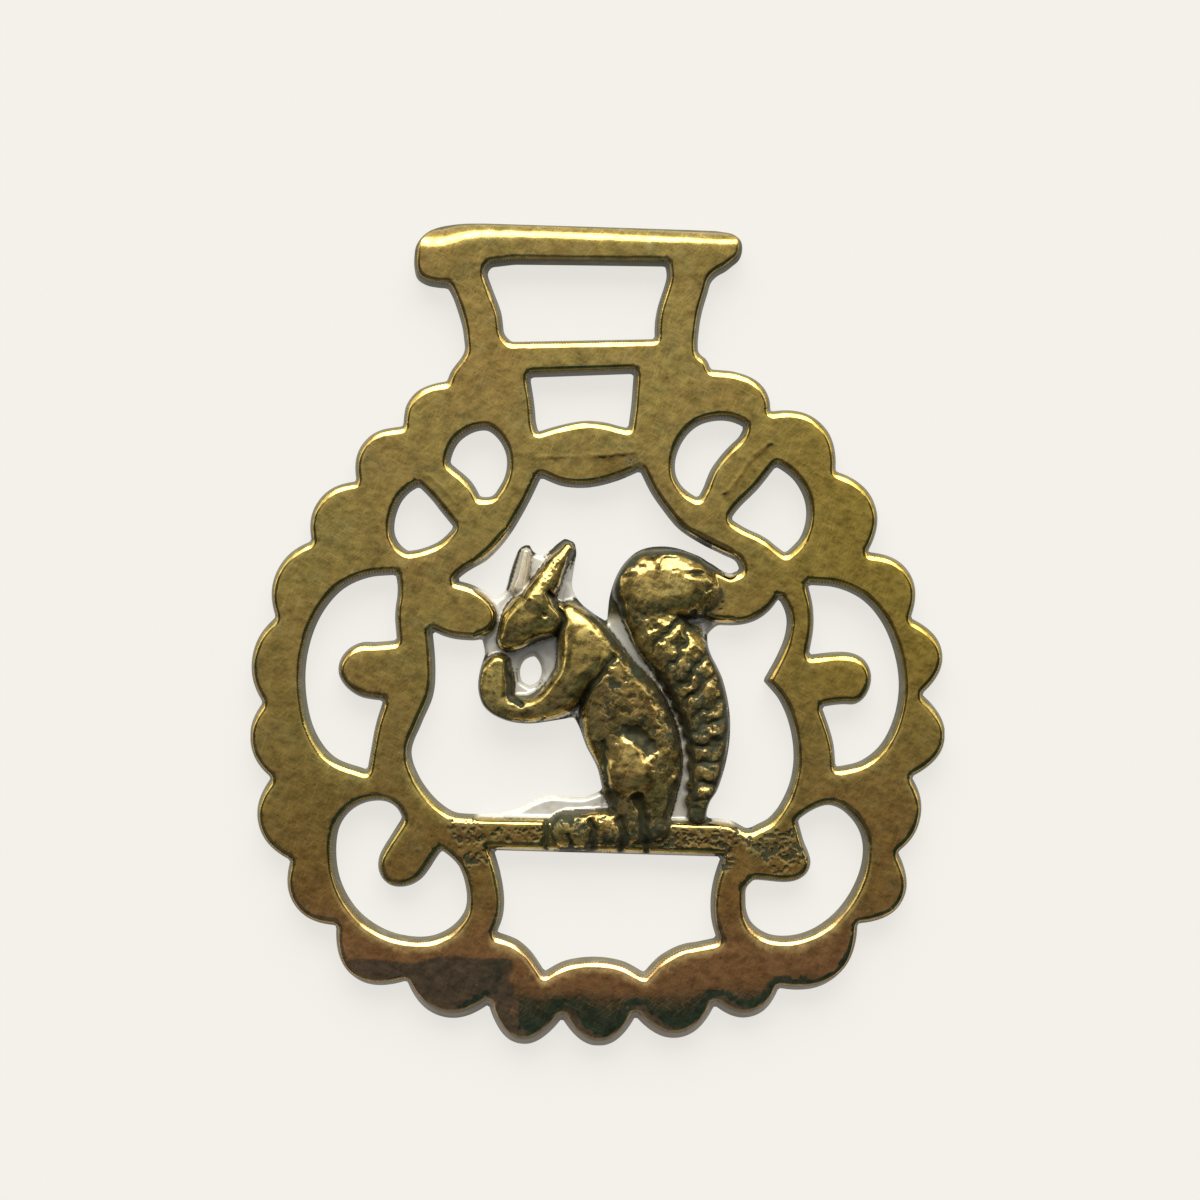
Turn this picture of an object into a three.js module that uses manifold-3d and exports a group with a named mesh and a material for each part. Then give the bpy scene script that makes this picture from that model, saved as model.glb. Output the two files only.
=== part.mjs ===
// A horse brass: a squirrel eating a nut, in an openwork ring with a scalloped rim and a strap loop on top.
// It is one sand-cast piece of brass with a flat back, drafted walls and rounded face edges.
// Units are millimetres. +X is to the viewer's right, +Y runs up to the strap loop, +Z comes out of the face.
// The back lies on Z = 0, and the origin is the middle of the outline's box.

import * as THREE from "three";
import { mergeVertices } from "three/addons/utils/BufferGeometryUtils.js";
import Module from "manifold-3d";

const wasm = await Module();
wasm.setup();

// ---- Driving dimensions ----

const FACE = 3; // height of the flat face over the back
const WALL_TOP = 2.6; // height at which the drafted wall turns into the rounded edge
const DRAFT = 0.38; // how far the wall leans in, from the back up to WALL_TOP
const EDGE = 0.42; // how far the rounded edge runs in from there to the face
const CHORD = 1.25; // longest side of the polygon on a round stretch
const MITRE = 0.45; // least cosine of half a corner's turn, which keeps sharp corners short

const ROUNDNESS = 2.2; // exponent of a scallop's outline: 2 is a parabola, more is rounder

const WEB = 1.3; // thickness of the thin metal behind and between the squirrel's limbs
const RELIEF_TOP = 7; // above the highest point of the relief
const RELIEF_DRAFT = 0.3; // how far the squirrel's outer wall leans in up to RELIEF_TOP
const LIMB_BASE = 0.4; // height of the limbs' flat undersides, inside the web
const LIMB_STEP = 1.9; // longest step along a limb
const LIMB_END_LEANS = [0.7, 1.3]; // angles of the sections that round off a limb's ends, in radians
const LIMB_SIDES = 8; // sides of a limb's half-round section
const PLUMPNESS = 3; // exponent of that section: 2 is an ellipse, more is squarer

// ---- Outlines ----

const vectors = (points) => points.map(([x, y]) => new THREE.Vector3(x, y, 0));

/** Evenly spaced points on the smooth curve through the given ones, without the last. Two make one side. */
function smooth(points) {
  const curve = new THREE.CatmullRomCurve3(vectors(points), false, "centripetal");
  const sides = points.length === 2 ? 1 : Math.ceil(curve.getLength() / CHORD);
  const spaced = curve.getSpacedPoints(sides).slice(0, -1);
  return spaced.map(({ x, y }) => new THREE.Vector2(x, y));
}

/** A closed outline of smooth stretches. Each ends at the next one's first point, which is a corner. */
function outline(...stretches) {
  return stretches.flatMap((stretch, i) => {
    const corner = stretches[(i + 1) % stretches.length][0];
    return smooth([...stretch, corner]);
  });
}

/** The stretch of a scallop: a round lobe from one notch to the next, which bulges to the left of its way. */
function scallop([startX, startY, rise], [endX, endY]) {
  return [0, 0.08, 0.22, 0.36, 0.5, 0.64, 0.78, 0.92].map((t) => {
    const reach = rise * (1 - Math.abs(2 * t - 1) ** ROUNDNESS);
    const x = startX + t * (endX - startX) - reach * (endY - startY);
    return [x, startY + t * (endY - startY) + reach * (endX - startX)];
  });
}

// Notches of the rim, clockwise from the right foot of the strap loop to the left one: x, y, and the rise of
// the scallop that follows, as a share of its chord. The left of the rim is worn flatter.
const RIM_NOTCHES = [
  [18.8, 24.3, 0.29], [25.9, 17.8, 0.28], [29.4, 9, 0.3], [34.1, 1.8, 0.34], [35.3, -6.5, 0.34],
  [34.2, -15.5, 0.21], [32.7, -23.7, 0.34], [28.3, -31.5, 0.27], [19.7, -38.5, 0.31], [12.7, -40.4, 0.34],
  [4.1, -41.6, 0.39], [-3.9, -41.8, 0.44], [-11.9, -40.3, 0.29], [-20.8, -37.7, 0.33], [-28.5, -31.7, 0.28],
  [-33.5, -24.6, 0.27], [-35.6, -15.6, 0.22], [-36.5, -7.4, 0.2], [-35.1, 1.9, 0.22], [-31.2, 10.2, 0.25],
  [-26.3, 16.7, 0.28], [-21.2, 22.6, 0],
];

const rimScallops = RIM_NOTCHES.slice(1).map((notch, i) => scallop(RIM_NOTCHES[i], notch));

const outerOutline = outline(
  ...rimScallops,
  // Left foot of the strap loop, its post, and the fat end of the bar
  [[-21.2, 22.7], [-20.9, 24.9], [-19.7, 26.5], [-18, 27.3]],
  [[-16.4, 27.6], [-16, 28.7], [-14.8, 30.3]],
  [[-14.5, 31], [-14.7, 33.2], [-15.9, 37]],
  [
    [-16.3, 37.7], [-18.5, 38], [-19.7, 38.8], [-20, 40.7], [-19.7, 42.6], [-18.3, 44], [-15.5, 44.7],
    [-12.3, 44.8],
  ],
  // Top of the bar, its pointed end, the right post and foot
  [[-12.2, 44.8]],
  [[12.6, 44], [14.8, 43.6], [15.7, 42.7], [15.6, 41.2]],
  [[15.4, 40.8], [14, 39.6], [12.5, 38.7]],
  [[12.3, 38.3], [11.2, 34.4], [10.9, 31]],
  [[11, 30.7], [11.9, 29.9], [12.2, 29]],
  [[12.3, 28.9], [15.1, 28.6], [17.4, 27.6], [18.6, 26]],
);

// Openings of the frame, named as the viewer sees them
const OPENINGS = {
  strapSlot: outline(
    [[-11.6, 40], [-9, 40.3]],
    [[-8.9, 40.3]],
    [[7.4, 40.1], [7.5, 39], [6.5, 35.6], [6.2, 33.8]],
    [[6.2, 32.2]],
    [[-9.4, 31.9], [-10.1, 32.6], [-10.5, 35], [-11.6, 38]],
    [[-12, 39.3]],
  ),
  windowUnderSlot: outline(
    [[3.9, 28.4]],
    [[-7.3, 28]],
    [[-7.3, 27.6], [-6.9, 25], [-6.7, 22.9]],
    [[-6.5, 22.1], [-4.6, 22.7], [-1.3, 23.3], [1.4, 23], [2.7, 22.6]],
    [[3.3, 22.5], [3.6, 24.6]],
  ),
  upperLeftPetal: outline(
    [[-16.1, 18.7], [-15.4, 20.6], [-13.8, 21.9], [-12, 22.2], [-10.5, 20.8], [-9.9, 19], [-10.3, 16.8]],
    [[-11.5, 15.1]],
    [[-12.8, 15], [-13.7, 16.6]],
  ),
  upperRightPetal: outline(
    [[10.9, 14.9], [9.2, 16.1], [8.4, 18], [9, 20.6], [10.7, 22.6], [13, 23.3], [14.8, 23.1]],
    [[15.9, 22.6], [15.5, 21.7], [13.9, 20.1], [12.2, 17.8], [11.6, 16.2]],
  ),
  lowerLeftPetal: outline(
    [[-19.5, 16.1], [-21, 15], [-22, 12.9], [-22.1, 10.9], [-21.2, 9.4]],
    [[-20.7, 9.1], [-19.1, 9.4], [-17.1, 10.3]],
    [[-15.7, 11.7], [-17.1, 13.4], [-18.2, 14.8]],
  ),
  lowerRightPetal: outline(
    [[19.4, 18.3], [21.1, 17.1], [22.4, 15], [22.7, 12.9], [22, 10.5]],
    [[20.4, 8.9], [19.6, 9.5], [18.2, 10.6], [15.9, 11.7]],
    [[14.5, 12.6], [15.4, 13.8], [17.4, 15.8]],
  ),
  leftCrescent: outline(
    [
      [-22, 6.5], [-25, 6.2], [-27.8, 4.9], [-30.2, 2], [-31.6, -2], [-31.8, -6.2], [-30.8, -10.5],
      [-28.7, -13.3],
    ],
    [[-25.1, -14.7], [-24.7, -12.4], [-24.2, -9.8]],
    [[-23.4, -7.2], [-25.8, -6.8], [-27.6, -5.5], [-28.3, -3.8], [-27.6, -2], [-26, -0.9], [-24, -0.8]],
    [[-21.9, -0.6], [-22.1, 2.2], [-21.8, 4.9]],
  ),
  rightCrescent: outline(
    [
      [25.9, -14.4], [28.5, -13.8], [30.7, -12.1], [32.2, -9.2], [32.8, -5.6], [32.3, -2], [30.9, 1.4],
      [28.8, 3.8], [26, 5.1],
    ],
    [[22.9, 5.4], [23.4, 3.3], [23.5, 0.8]],
    [
      [23, -2.2], [25.7, -1.9], [27.7, -2], [29.2, -2.9], [29.8, -4.6], [29.4, -6.3], [28.3, -7.5],
      [26.3, -7.6],
    ],
    [[24.4, -7.9], [25.1, -9.8], [25.7, -12]],
  ),
  lowerLeftEye: outline(
    [
      [-21.3, -19.9], [-22.3, -18.5], [-24.2, -18.1], [-26.4, -18.8], [-28, -20.6], [-28.5, -23.3],
      [-28, -26.8], [-26.2, -29.9], [-23.6, -31.9], [-20.8, -32.8], [-18.1, -32.8], [-15.8, -31.7],
      [-14.4, -29.8], [-14.4, -27.4], [-15.3, -25],
    ],
    [
      [-17, -23.5], [-17.9, -24.8], [-19, -26.4], [-20.7, -27.4], [-22.6, -27.3], [-23.8, -26],
      [-23.8, -24.1], [-22.8, -22.3],
    ],
  ),
  lowerRightEye: outline(
    [
      [17, -26.7], [16.3, -27.3], [16.1, -29], [16.5, -31], [18.3, -32.5], [20.7, -32.8], [23.3, -32.1],
      [25.9, -30.2], [27.8, -27.5], [28.8, -24.5], [28.7, -22], [27.5, -19.9], [25.5, -18.6], [23.6, -19],
    ],
    [[21.8, -20.2], [22.4, -22.4], [23.2, -24.7], [22.7, -26.1], [21.2, -26.9]],
  ),
  windowUnderLedge: outline(
    [[-11.3, -23.5], [-10.6, -26], [-10.2, -28.8], [-10.4, -30.9]],
    [[-11, -32.4], [-8.8, -33.2], [-7.2, -34.6]],
    [[-5.8, -36.7], [-3.8, -35.6], [-0.5, -35.1], [2.8, -35.6]],
    [[5, -36.8], [6.6, -35.1], [9, -33.8], [11.1, -33.4]],
    [[12.9, -33], [12.4, -31.2], [12.3, -28.6], [12.7, -26.3]],
    [[13.4, -24.2]],
  ),
  centre: outline(
    // Under the lens, down the left stem, and round the left leaf that meets the squirrel's face
    [[4.6, 17.8], [2, 16.7], [-1.2, 16], [-4, 16.2]],
    [[-6.2, 17.1], [-7.6, 14.2], [-9.9, 10.4], [-12.2, 8], [-14, 7]],
    [
      [-15.4, 5.9], [-13.6, 5.4], [-11.9, 4.4], [-10.7, 2.6], [-10.9, 0.6], [-12.5, -0.5], [-14.5, -0.6],
      [-16.4, -0.3],
    ],
    // Inner side of the left stem and the top of the ledge
    [
      [-18, 0.4], [-17.7, -3.2], [-17.9, -6.5], [-19.2, -9.7], [-20.3, -12.8], [-19.2, -15.9], [-17.2, -18.3],
      [-15.4, -19.4],
    ],
    [[-14.4, -19.5]],
    [[12.5, -20], [14.4, -20.2], [15.6, -20.8]],
    // Inner side of the right stem, and the right leaf that meets the squirrel's tail
    [[16.3, -21.1], [18.7, -19.9], [20.5, -17.2], [21.3, -14], [21, -10.4], [19.8, -7.2]],
    [[18, -5], [19.3, -2.7], [20.4, 0], [20.5, 2.2]],
    [
      [19.7, 3.9], [18.5, 2.4], [16.6, 1.3], [14, 1], [11.6, 1.4], [10.2, 3], [9.7, 5.4], [10.4, 7.6],
      [12, 7.9], [13.5, 7],
    ],
    [[14.4, 6.6], [15.3, 6.8], [15.5, 7.6], [14.2, 8.4], [11.4, 9.8], [8.8, 11.5], [7.2, 13.4], [5.8, 15.4]],
  ),
};

// Outline of the squirrel's base, from its face clockwise. It overlaps the ledge and both leaves.
const squirrelOutline = outline(
  [[-12.6, -0.4]],
  [[-12.2, 3.4]],
  [[-11.2, 3.8], [-10.2, 4.6], [-9.4, 7.2], [-8.4, 9.5]],
  [[-7.5, 9.9], [-6.9, 8.9], [-6, 8.6], [-4.9, 9.5]],
  [[-3.6, 10.5], [-2.4, 9.9], [-2.5, 7.8], [-2.8, 5.2], [-2, 3.6], [0, 2]],
  [[1, 1.4], [1.4, 4.6], [2.6, 7.4], [4.6, 9.2], [7.4, 9.6], [9.9, 9], [12.4, 7.6]],
  [[13.6, 4.4]],
  [[13.4, 1.2], [12.2, 0.4]],
  [[11.9, 0], [12.1, -1.6], [13.5, -4.6], [14.3, -8], [14.4, -11], [13.9, -14.2], [12.9, -17.2], [12, -18.7]],
  [[11.8, -22.9]],
  [[-9.6, -22.9]],
  [[-10.6, -19.4], [-8.6, -18.9], [-6.6, -17.9], [-5.1, -17.5], [-1.6, -17.7]],
  [[0.5, -16.9], [-0.1, -14.4], [-1.2, -12.3], [-2.3, -9.4]],
  [[-2.6, -9], [-5, -9.4], [-7.6, -9.7], [-10.2, -9.3], [-12.3, -8], [-13, -6.2], [-12.9, -4.2]],
  [[-12.3, -2.1]],
);

// The gap between the face, the arm and the nut, which goes right through
const pawGap = outline(
  [[-6.9, -2.3], [-8, -2.8], [-8.5, -4.2], [-8.1, -5.5]],
  [[-7.4, -5.6], [-6.5, -5.1], [-6.1, -3.6]],
);

// ---- Relief of the squirrel ----

// Rounded masses, each along a line of stations: x, y, half width and height over the back
const STRAP_BAR = [
  [-16.9, 41.2, 2.9, 3.3], [-14, 42.2, 2.5, 3.3], [-9, 42.5, 2.2, 3.3], [2, 42.2, 2.1, 3.3],
  [13.2, 41.9, 1.8, 3.2],
];

const LIMBS = {
  head: [[-6.6, 2.6, 2.5, 5], [-7.7, 1.7, 2.7, 4.9], [-9.5, -0.4, 1.5, 4.2]],
  cheek: [[-5.4, 1.9, 2.2, 4.7], [-7.9, 0.9, 1.9, 4.7]],
  frontEar: [[-6.6, 3.6, 1.7, 5.1], [-5.1, 6.5, 1.2, 4.7], [-3.3, 9.4, 0.6, 4]],
  backEar: [[-8.6, 5, 0.8, 3.2], [-7.8, 8.8, 0.5, 2.7]],
  arm: [
    [-2.2, 1, 2.3, 4.8], [-1.5, -1.6, 2.9, 5.3], [-2.5, -4.3, 2.3, 5.3], [-4.2, -6.7, 2.1, 4.7],
    [-6.9, -8.1, 1.6, 4.1], [-9.4, -8.1, 1.5, 3.9],
  ],
  nut: [[-10.2, -8.2, 1.6, 3.9], [-11.5, -7, 1.9, 4], [-11.6, -5.2, 2, 4], [-10.9, -3.4, 1.2, 3.8]],
  trunk: [
    [-3, 1.9, 1.8, 4.7], [-0.9, -0.6, 2.4, 5.2], [1.5, -4.8, 3.1, 5.2], [3, -9.4, 5, 4.9],
    [4.2, -13.4, 5, 4.5], [4.7, -16.6, 4, 4.3], [4.7, -18.8, 3.4, 4],
  ],
  haunch: [[3.8, -12, 3.1, 5], [3.6, -14.6, 3.5, 5.3]],
  feet: [[6.2, -20.9, 1.9, 3.8], [1, -21, 2.1, 4], [-3.4, -21.2, 2.1, 3.9]],
  tail: [
    [10.9, -19.4, 1.2, 3.5], [11.4, -17.2, 1.5, 3.8], [11.9, -13.4, 2, 4.2], [11.8, -9.8, 2.5, 4.5],
    [11.1, -6.8, 2.9, 4.7], [9.5, -3.1, 3.3, 4.8], [6.9, 0.2, 2.8, 4.9], [5.8, 3.4, 3.2, 4.9],
  ],
  tailCrown: [[5.6, 5.2, 4, 5], [8.6, 5.4, 3.8, 5], [11.2, 4.9, 2.8, 3.9]],
};

// Rolls of fur across the tail, from above the ledge to below the crown
const FUR_ROLLS = 10;
const FUR_FROM = 0.1; // share of the tail's length at the first roll
const FUR_TO = 0.84;
const FUR_RADIUS = 0.95;
const FUR_RISE = 0.4; // height of a roll's back over the tail's own
const FUR_REACH = 0.72; // share of the tail's half width at which a roll ends
const FUR_TILT = 0.3; // how far a roll climbs to the right, per length

// ---- Solids ----

/** A closed geometry as a solid that can be joined and cut. */
function solid(geometry) {
  const bare = geometry.clone();
  bare.deleteAttribute("normal");
  bare.deleteAttribute("uv");
  const merged = mergeVertices(bare, 1e-4);
  return new wasm.Manifold(
    new wasm.Mesh({
      numProp: 3,
      vertProperties: new Float32Array(merged.attributes.position.array),
      triVerts: new Uint32Array(merged.index.array),
    }),
  );
}

/** An outline moved to the left of its way round, which is into the metal. */
function inset(points, distance) {
  const leftOf = (a, b) => new THREE.Vector2(a.y - b.y, b.x - a.x).normalize();
  return points.map((point, i) => {
    const before = leftOf(points.at(i - 1), point);
    const after = leftOf(point, points[(i + 1) % points.length]);
    const middle = before.clone().add(after).normalize();
    return point.clone().addScaledVector(middle, distance / Math.max(middle.dot(after), MITRE));
  });
}

/** An outline that runs clockwise, or the other way. */
function turned(points, clockwise) {
  return THREE.ShapeUtils.isClockWise(points) === clockwise ? points : [...points].reverse();
}

/** A solid with a flat back and face. Its walls follow levels of [height, how far they have moved in]. */
function plate(outer, openings, levels) {
  const loops = [turned(outer, false), ...openings.map((opening) => turned(opening, true))];
  const count = loops.reduce((total, loop) => total + loop.length, 0);
  const positions = [];
  const triangles = [];
  const caps = [];
  for (const [z, distance] of levels) {
    const moved = loops.map((loop) => inset(loop, distance));
    positions.push(...moved.flat().flatMap(({ x, y }) => [x, y, z]));
    caps.push(THREE.ShapeUtils.triangulateShape(moved[0], moved.slice(1)));
  }
  const faceStart = (levels.length - 1) * count;
  triangles.push(...caps[0].flatMap(([a, b, c]) => [c, b, a]));
  triangles.push(...caps.at(-1).flat().map((index) => index + faceStart));
  for (let level = 0; level < levels.length - 1; level++) {
    let start = level * count;
    for (const loop of loops) {
      for (let i = 0; i < loop.length; i++) {
        const here = start + i;
        const next = start + ((i + 1) % loop.length);
        triangles.push(here, next, next + count, here, next + count, here + count);
      }
      start += loop.length;
    }
  }
  const geometry = new THREE.BufferGeometry();
  geometry.setAttribute("position", new THREE.Float32BufferAttribute(positions, 3));
  geometry.setIndex(triangles);
  return geometry;
}

function frame() {
  const levels = [[0, 0], [WALL_TOP, DRAFT], [FACE, DRAFT + EDGE]];
  return solid(plate(outerOutline, Object.values(OPENINGS), levels));
}

const spineOf = (stations) => new THREE.CatmullRomCurve3(vectors(stations));

const girthOf = (stations) => spineOf(stations.map((station) => station.slice(2)));

/** Height of a limb's half-round section over the back, at a share of its half width from the spine. */
function domeHeight(height, share) {
  return LIMB_BASE + (height - LIMB_BASE) * (1 - share ** PLUMPNESS) ** (1 / PLUMPNESS);
}

/** A limb: half-round sections along a smooth spine, drawn in to a round end at both ends. */
function limb(stations) {
  const spine = spineOf(stations);
  const girth = girthOf(stations);
  const section = (t, lean) => {
    const { x: width, y: height } = girth.getPoint(t);
    const along = spine.getTangent(t);
    const centre = spine.getPoint(t).addScaledVector(along, width * Math.sin(lean));
    return { centre, along, width: width * Math.cos(lean), rise: (height - LIMB_BASE) * Math.cos(lean) };
  };
  const steps = Math.ceil(spine.getLength() / LIMB_STEP);
  const sections = [
    ...LIMB_END_LEANS.map((lean) => section(0, -lean)).reverse(),
    ...Array.from({ length: steps + 1 }, (_, i) => section(i / steps, 0)),
    ...LIMB_END_LEANS.map((lean) => section(1, lean)),
  ];
  const positions = [];
  for (const { centre, along, width, rise } of sections) {
    for (let i = 0; i <= LIMB_SIDES; i++) {
      const cosine = Math.cos((Math.PI * i) / LIMB_SIDES);
      const sine = Math.sin((Math.PI * i) / LIMB_SIDES);
      const side = width * Math.sign(cosine) * Math.abs(cosine) ** (2 / PLUMPNESS);
      const up = LIMB_BASE + rise * sine ** (2 / PLUMPNESS);
      positions.push(centre.x + along.y * side, centre.y - along.x * side, up);
    }
  }
  const ring = LIMB_SIDES + 1;
  const last = (sections.length - 1) * ring;
  const triangles = [];
  for (let i = 1; i < LIMB_SIDES; i++) triangles.push(0, i, i + 1, last, last + i + 1, last + i);
  for (let start = 0; start < last; start += ring) {
    for (let i = 0; i < ring; i++) {
      const here = start + i;
      const next = start + ((i + 1) % ring);
      triangles.push(here, next + ring, next, here, here + ring, next + ring);
    }
  }
  const geometry = new THREE.BufferGeometry();
  geometry.setAttribute("position", new THREE.Float32BufferAttribute(positions, 3));
  geometry.setIndex(triangles);
  return solid(geometry);
}

/** The rolls of fur, evenly spaced up the tail. Each climbs to the right and follows the tail's section. */
function furRolls() {
  const spine = spineOf(LIMBS.tail);
  const girth = girthOf(LIMBS.tail);
  return Array.from({ length: FUR_ROLLS }, (_, i) => {
    const t = THREE.MathUtils.lerp(FUR_FROM, FUR_TO, i / (FUR_ROLLS - 1));
    const { x, y } = spine.getPoint(t);
    const { x: width, y: height } = girth.getPoint(t);
    const along = spine.getTangent(t);
    const stepX = FUR_REACH * width * along.y;
    const stepY = FUR_REACH * width * (FUR_TILT - along.x);
    const end = domeHeight(height, FUR_REACH) + FUR_RISE;
    const middle = height + FUR_RISE;
    return limb([
      [x - stepX, y - stepY, FUR_RADIUS, end],
      [x, y, FUR_RADIUS, middle],
      [x + stepX, y + stepY, FUR_RADIUS, end],
    ]);
  });
}

/** The squirrel: its limbs on the web, trimmed to a drafted prism of its outline. */
function squirrel() {
  const web = solid(plate(squirrelOutline, [pawGap], [[0, 0], [WEB, DRAFT / 2]]));
  const prism = solid(plate(squirrelOutline, [pawGap], [[0, 0], [RELIEF_TOP, RELIEF_DRAFT]]));
  const limbs = [...Object.values(LIMBS).map(limb), ...furRolls()];
  return limbs.reduce((body, part) => body.add(part)).intersect(prism).add(web);
}

// ---- The casting ----

function casting() {
  const { vertProperties, triVerts } = frame().add(limb(STRAP_BAR)).add(squirrel()).getMesh();
  const geometry = new THREE.BufferGeometry();
  geometry.setAttribute("position", new THREE.BufferAttribute(vertProperties, 3));
  geometry.setIndex(new THREE.BufferAttribute(triVerts, 1));
  geometry.computeBoundingBox();
  const { x, y } = geometry.boundingBox.getCenter(new THREE.Vector3());
  geometry.translate(-x, -y, 0);
  geometry.computeVertexNormals();
  return geometry;
}

const agedBrass = new THREE.MeshStandardMaterial({ color: 0x8f7a3c, metalness: 1, roughness: 0.38 });
const horseBrass = new THREE.Mesh(casting(), agedBrass);
horseBrass.name = "horse_brass";

const part = new THREE.Group();
part.add(horseBrass);

export default part;
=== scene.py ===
"""Looks of the horse brass: a fine cast surface over the CAD solid, aged brass, and a room seen from above.

The fine mesh keeps the solid's outline at the back, its drafted walls, its face and the squirrel's limbs.
Lengths are in millimetres, and MM turns them into Blender's metres. +Y is towards the strap loop, and +Z
out of the face.
"""

import math

import bpy
import numpy as np
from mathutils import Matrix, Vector
from mathutils.bvhtree import BVHTree
from mathutils.geometry import delaunay_2d_cdt
from mathutils.kdtree import KDTree


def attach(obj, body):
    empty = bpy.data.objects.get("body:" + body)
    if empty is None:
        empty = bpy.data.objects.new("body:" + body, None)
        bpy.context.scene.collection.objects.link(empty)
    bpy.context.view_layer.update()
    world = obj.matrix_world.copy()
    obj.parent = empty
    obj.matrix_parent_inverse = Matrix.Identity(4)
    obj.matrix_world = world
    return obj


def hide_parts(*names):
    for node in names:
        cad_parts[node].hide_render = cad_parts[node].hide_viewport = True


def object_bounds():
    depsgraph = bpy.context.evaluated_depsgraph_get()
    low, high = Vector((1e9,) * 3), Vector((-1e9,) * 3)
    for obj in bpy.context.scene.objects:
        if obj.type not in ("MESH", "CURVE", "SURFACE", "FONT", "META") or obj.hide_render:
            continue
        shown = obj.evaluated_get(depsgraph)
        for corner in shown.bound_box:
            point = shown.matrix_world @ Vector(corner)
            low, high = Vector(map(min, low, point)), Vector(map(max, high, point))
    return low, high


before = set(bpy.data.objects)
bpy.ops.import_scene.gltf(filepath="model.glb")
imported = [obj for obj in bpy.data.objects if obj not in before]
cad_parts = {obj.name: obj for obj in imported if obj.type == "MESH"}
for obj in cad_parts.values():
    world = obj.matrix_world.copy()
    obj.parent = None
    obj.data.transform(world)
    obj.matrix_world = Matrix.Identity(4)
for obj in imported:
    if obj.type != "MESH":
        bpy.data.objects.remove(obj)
cad_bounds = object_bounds()

MM = 0.001
SEED = 7
rng = np.random.default_rng(SEED)

# ---- Sizes of the casting, which are its solid's or close to them ----

SHIFT = np.array([0.030, -0.008])  # from the solid's own drawing to its centred place
FACE = 3.0
WALL_TOP = 2.6
WALL_RUN = 0.36  # how far the wall leans in, from the back up to WALL_TOP
ROUND_RUN = 0.48  # how far the rounded edge runs in from there to the flat face
WEB = 1.3  # thickness of the metal behind and between the limbs
LIMB_BASE = 0.4  # height at which a limb's section starts
PLUMPNESS = 3.2  # exponent of that section: 2 is an ellipse, more is squarer
NO_LIMB = -9.0  # height given to places beside a limb

# x, y, half width and height over the back, along the middle of the bar
STRAP_BAR = [
    (-16.9, 41.2, 2.9, 3.12), (-14, 42.2, 2.5, 3.12), (-9, 42.5, 2.2, 3.12), (2, 42.2, 2.1, 3.12),
    (13.2, 41.9, 1.8, 3.12),
]

# How softly each limb melts into what it lies on, and its x, y, half width and height over the back
LIMBS = {
    "trunk": (0.3, [
        (-3, 1.9, 1.8, 4.2), (-0.9, -0.6, 2.4, 5.2), (1.5, -4.8, 3.1, 5.2), (3, -9.4, 5, 4.9),
        (4.2, -13.4, 5, 4.5), (4.7, -16.6, 4, 4.3), (4.7, -18.8, 3.4, 4),
    ]),
    "haunch": (0.5, [(3.8, -12, 3.1, 5), (3.6, -14.6, 3.5, 5.3)]),
    "feet": (0.3, [(6.2, -20.9, 1.9, 3.8), (1, -21, 2.1, 4), (-3.4, -21.2, 2.1, 3.9)]),
    "arm": (0.5, [
        (-2.2, 1, 2.3, 4.3), (-1.5, -1.6, 2.9, 5.3), (-2.5, -4.3, 2.3, 5.3), (-4.2, -6.7, 2.1, 4.7),
        (-6.9, -8.1, 1.6, 4.1), (-9.4, -8.1, 1.5, 3.9),
    ]),
    "nut": (0.2, [
        (-10.2, -8.2, 1.8, 3.9), (-11.3, -7, 2.2, 4), (-11.3, -5.2, 2.3, 4), (-10.8, -3.4, 1.4, 3.8),
    ]),
    "cheek": (0.5, [(-5.4, 1.9, 2.2, 4.7), (-7.9, 0.9, 1.9, 4.7)]),
    "head": (0.6, [(-6.6, 2.6, 2.5, 5), (-7.7, 1.7, 2.7, 4.9), (-9.5, -0.4, 1.5, 4.2)]),
    "frontEar": (0.5, [(-6.6, 3.6, 1.9, 5.3), (-5.1, 6.5, 1.4, 4.4), (-3.3, 9.4, 0.8, 3.3)]),
    "backEar": (0.4, [(-8.5, 5, 1.0, 3.2), (-7.8, 8.8, 0.6, 2.7)]),
    "tailCrown": (0.6, [(5.6, 5.2, 4, 5), (8.6, 5.4, 3.8, 5), (11.2, 4.7, 2.8, 3.4)]),
}
TAIL = [
    (10.9, -19.4, 1.2, 3.5), (11.4, -17.2, 1.5, 3.8), (11.9, -13.4, 2, 4.2), (11.8, -9.8, 2.5, 4.5),
    (11.1, -6.8, 2.9, 4.7), (9.4, -3.1, 3.4, 4.8), (6.7, 0.2, 3.1, 4.8), (5.6, 3.4, 3.4, 4.9),
]
TAIL_STEPS = 20  # points of the tail's line between two of its own
FUR_ROLLS = 10
FUR_FROM, FUR_TO = 0.1, 0.84  # shares of the tail's length at the first roll and at the last
FUR_TILT = 0.3  # how far a roll climbs to the right, per length
CROWN_AT, CROWN_HALF = (7.6, 5.2), (5.6, 4.4)
CROWN_LEAN = 0.12  # how far the crown falls for each millimetre towards the strap loop

LIMB_FOOT = 0.08  # how far the painted shade at a limb's foot reaches out from it
WALL_FOOT = 0.4  # and how far it does so at a wall

RELIEF_BOX = (-13.6, -24.2, 15.2, 11.6)  # the squirrel and what it touches
BAR_BOX = (-20.6, 37.0, 16.4, 45.4)
LOWEST_LOBES = (-36, -40)  # y at which the lowest lobes begin, and at which they are there in full

# ---- Small tools ----


def smoothstep(low, high, x):
    t = np.clip((x - low) / (high - low), 0, 1)
    return t * t * (3 - 2 * t)


def soft_max(a, b, k):
    overlap = np.maximum(k - np.abs(a - b), 0)
    return np.maximum(a, b) + overlap**2 / (4 * k)


def soft_min(a, b, k):
    return -soft_max(-a, -b, k)


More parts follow.
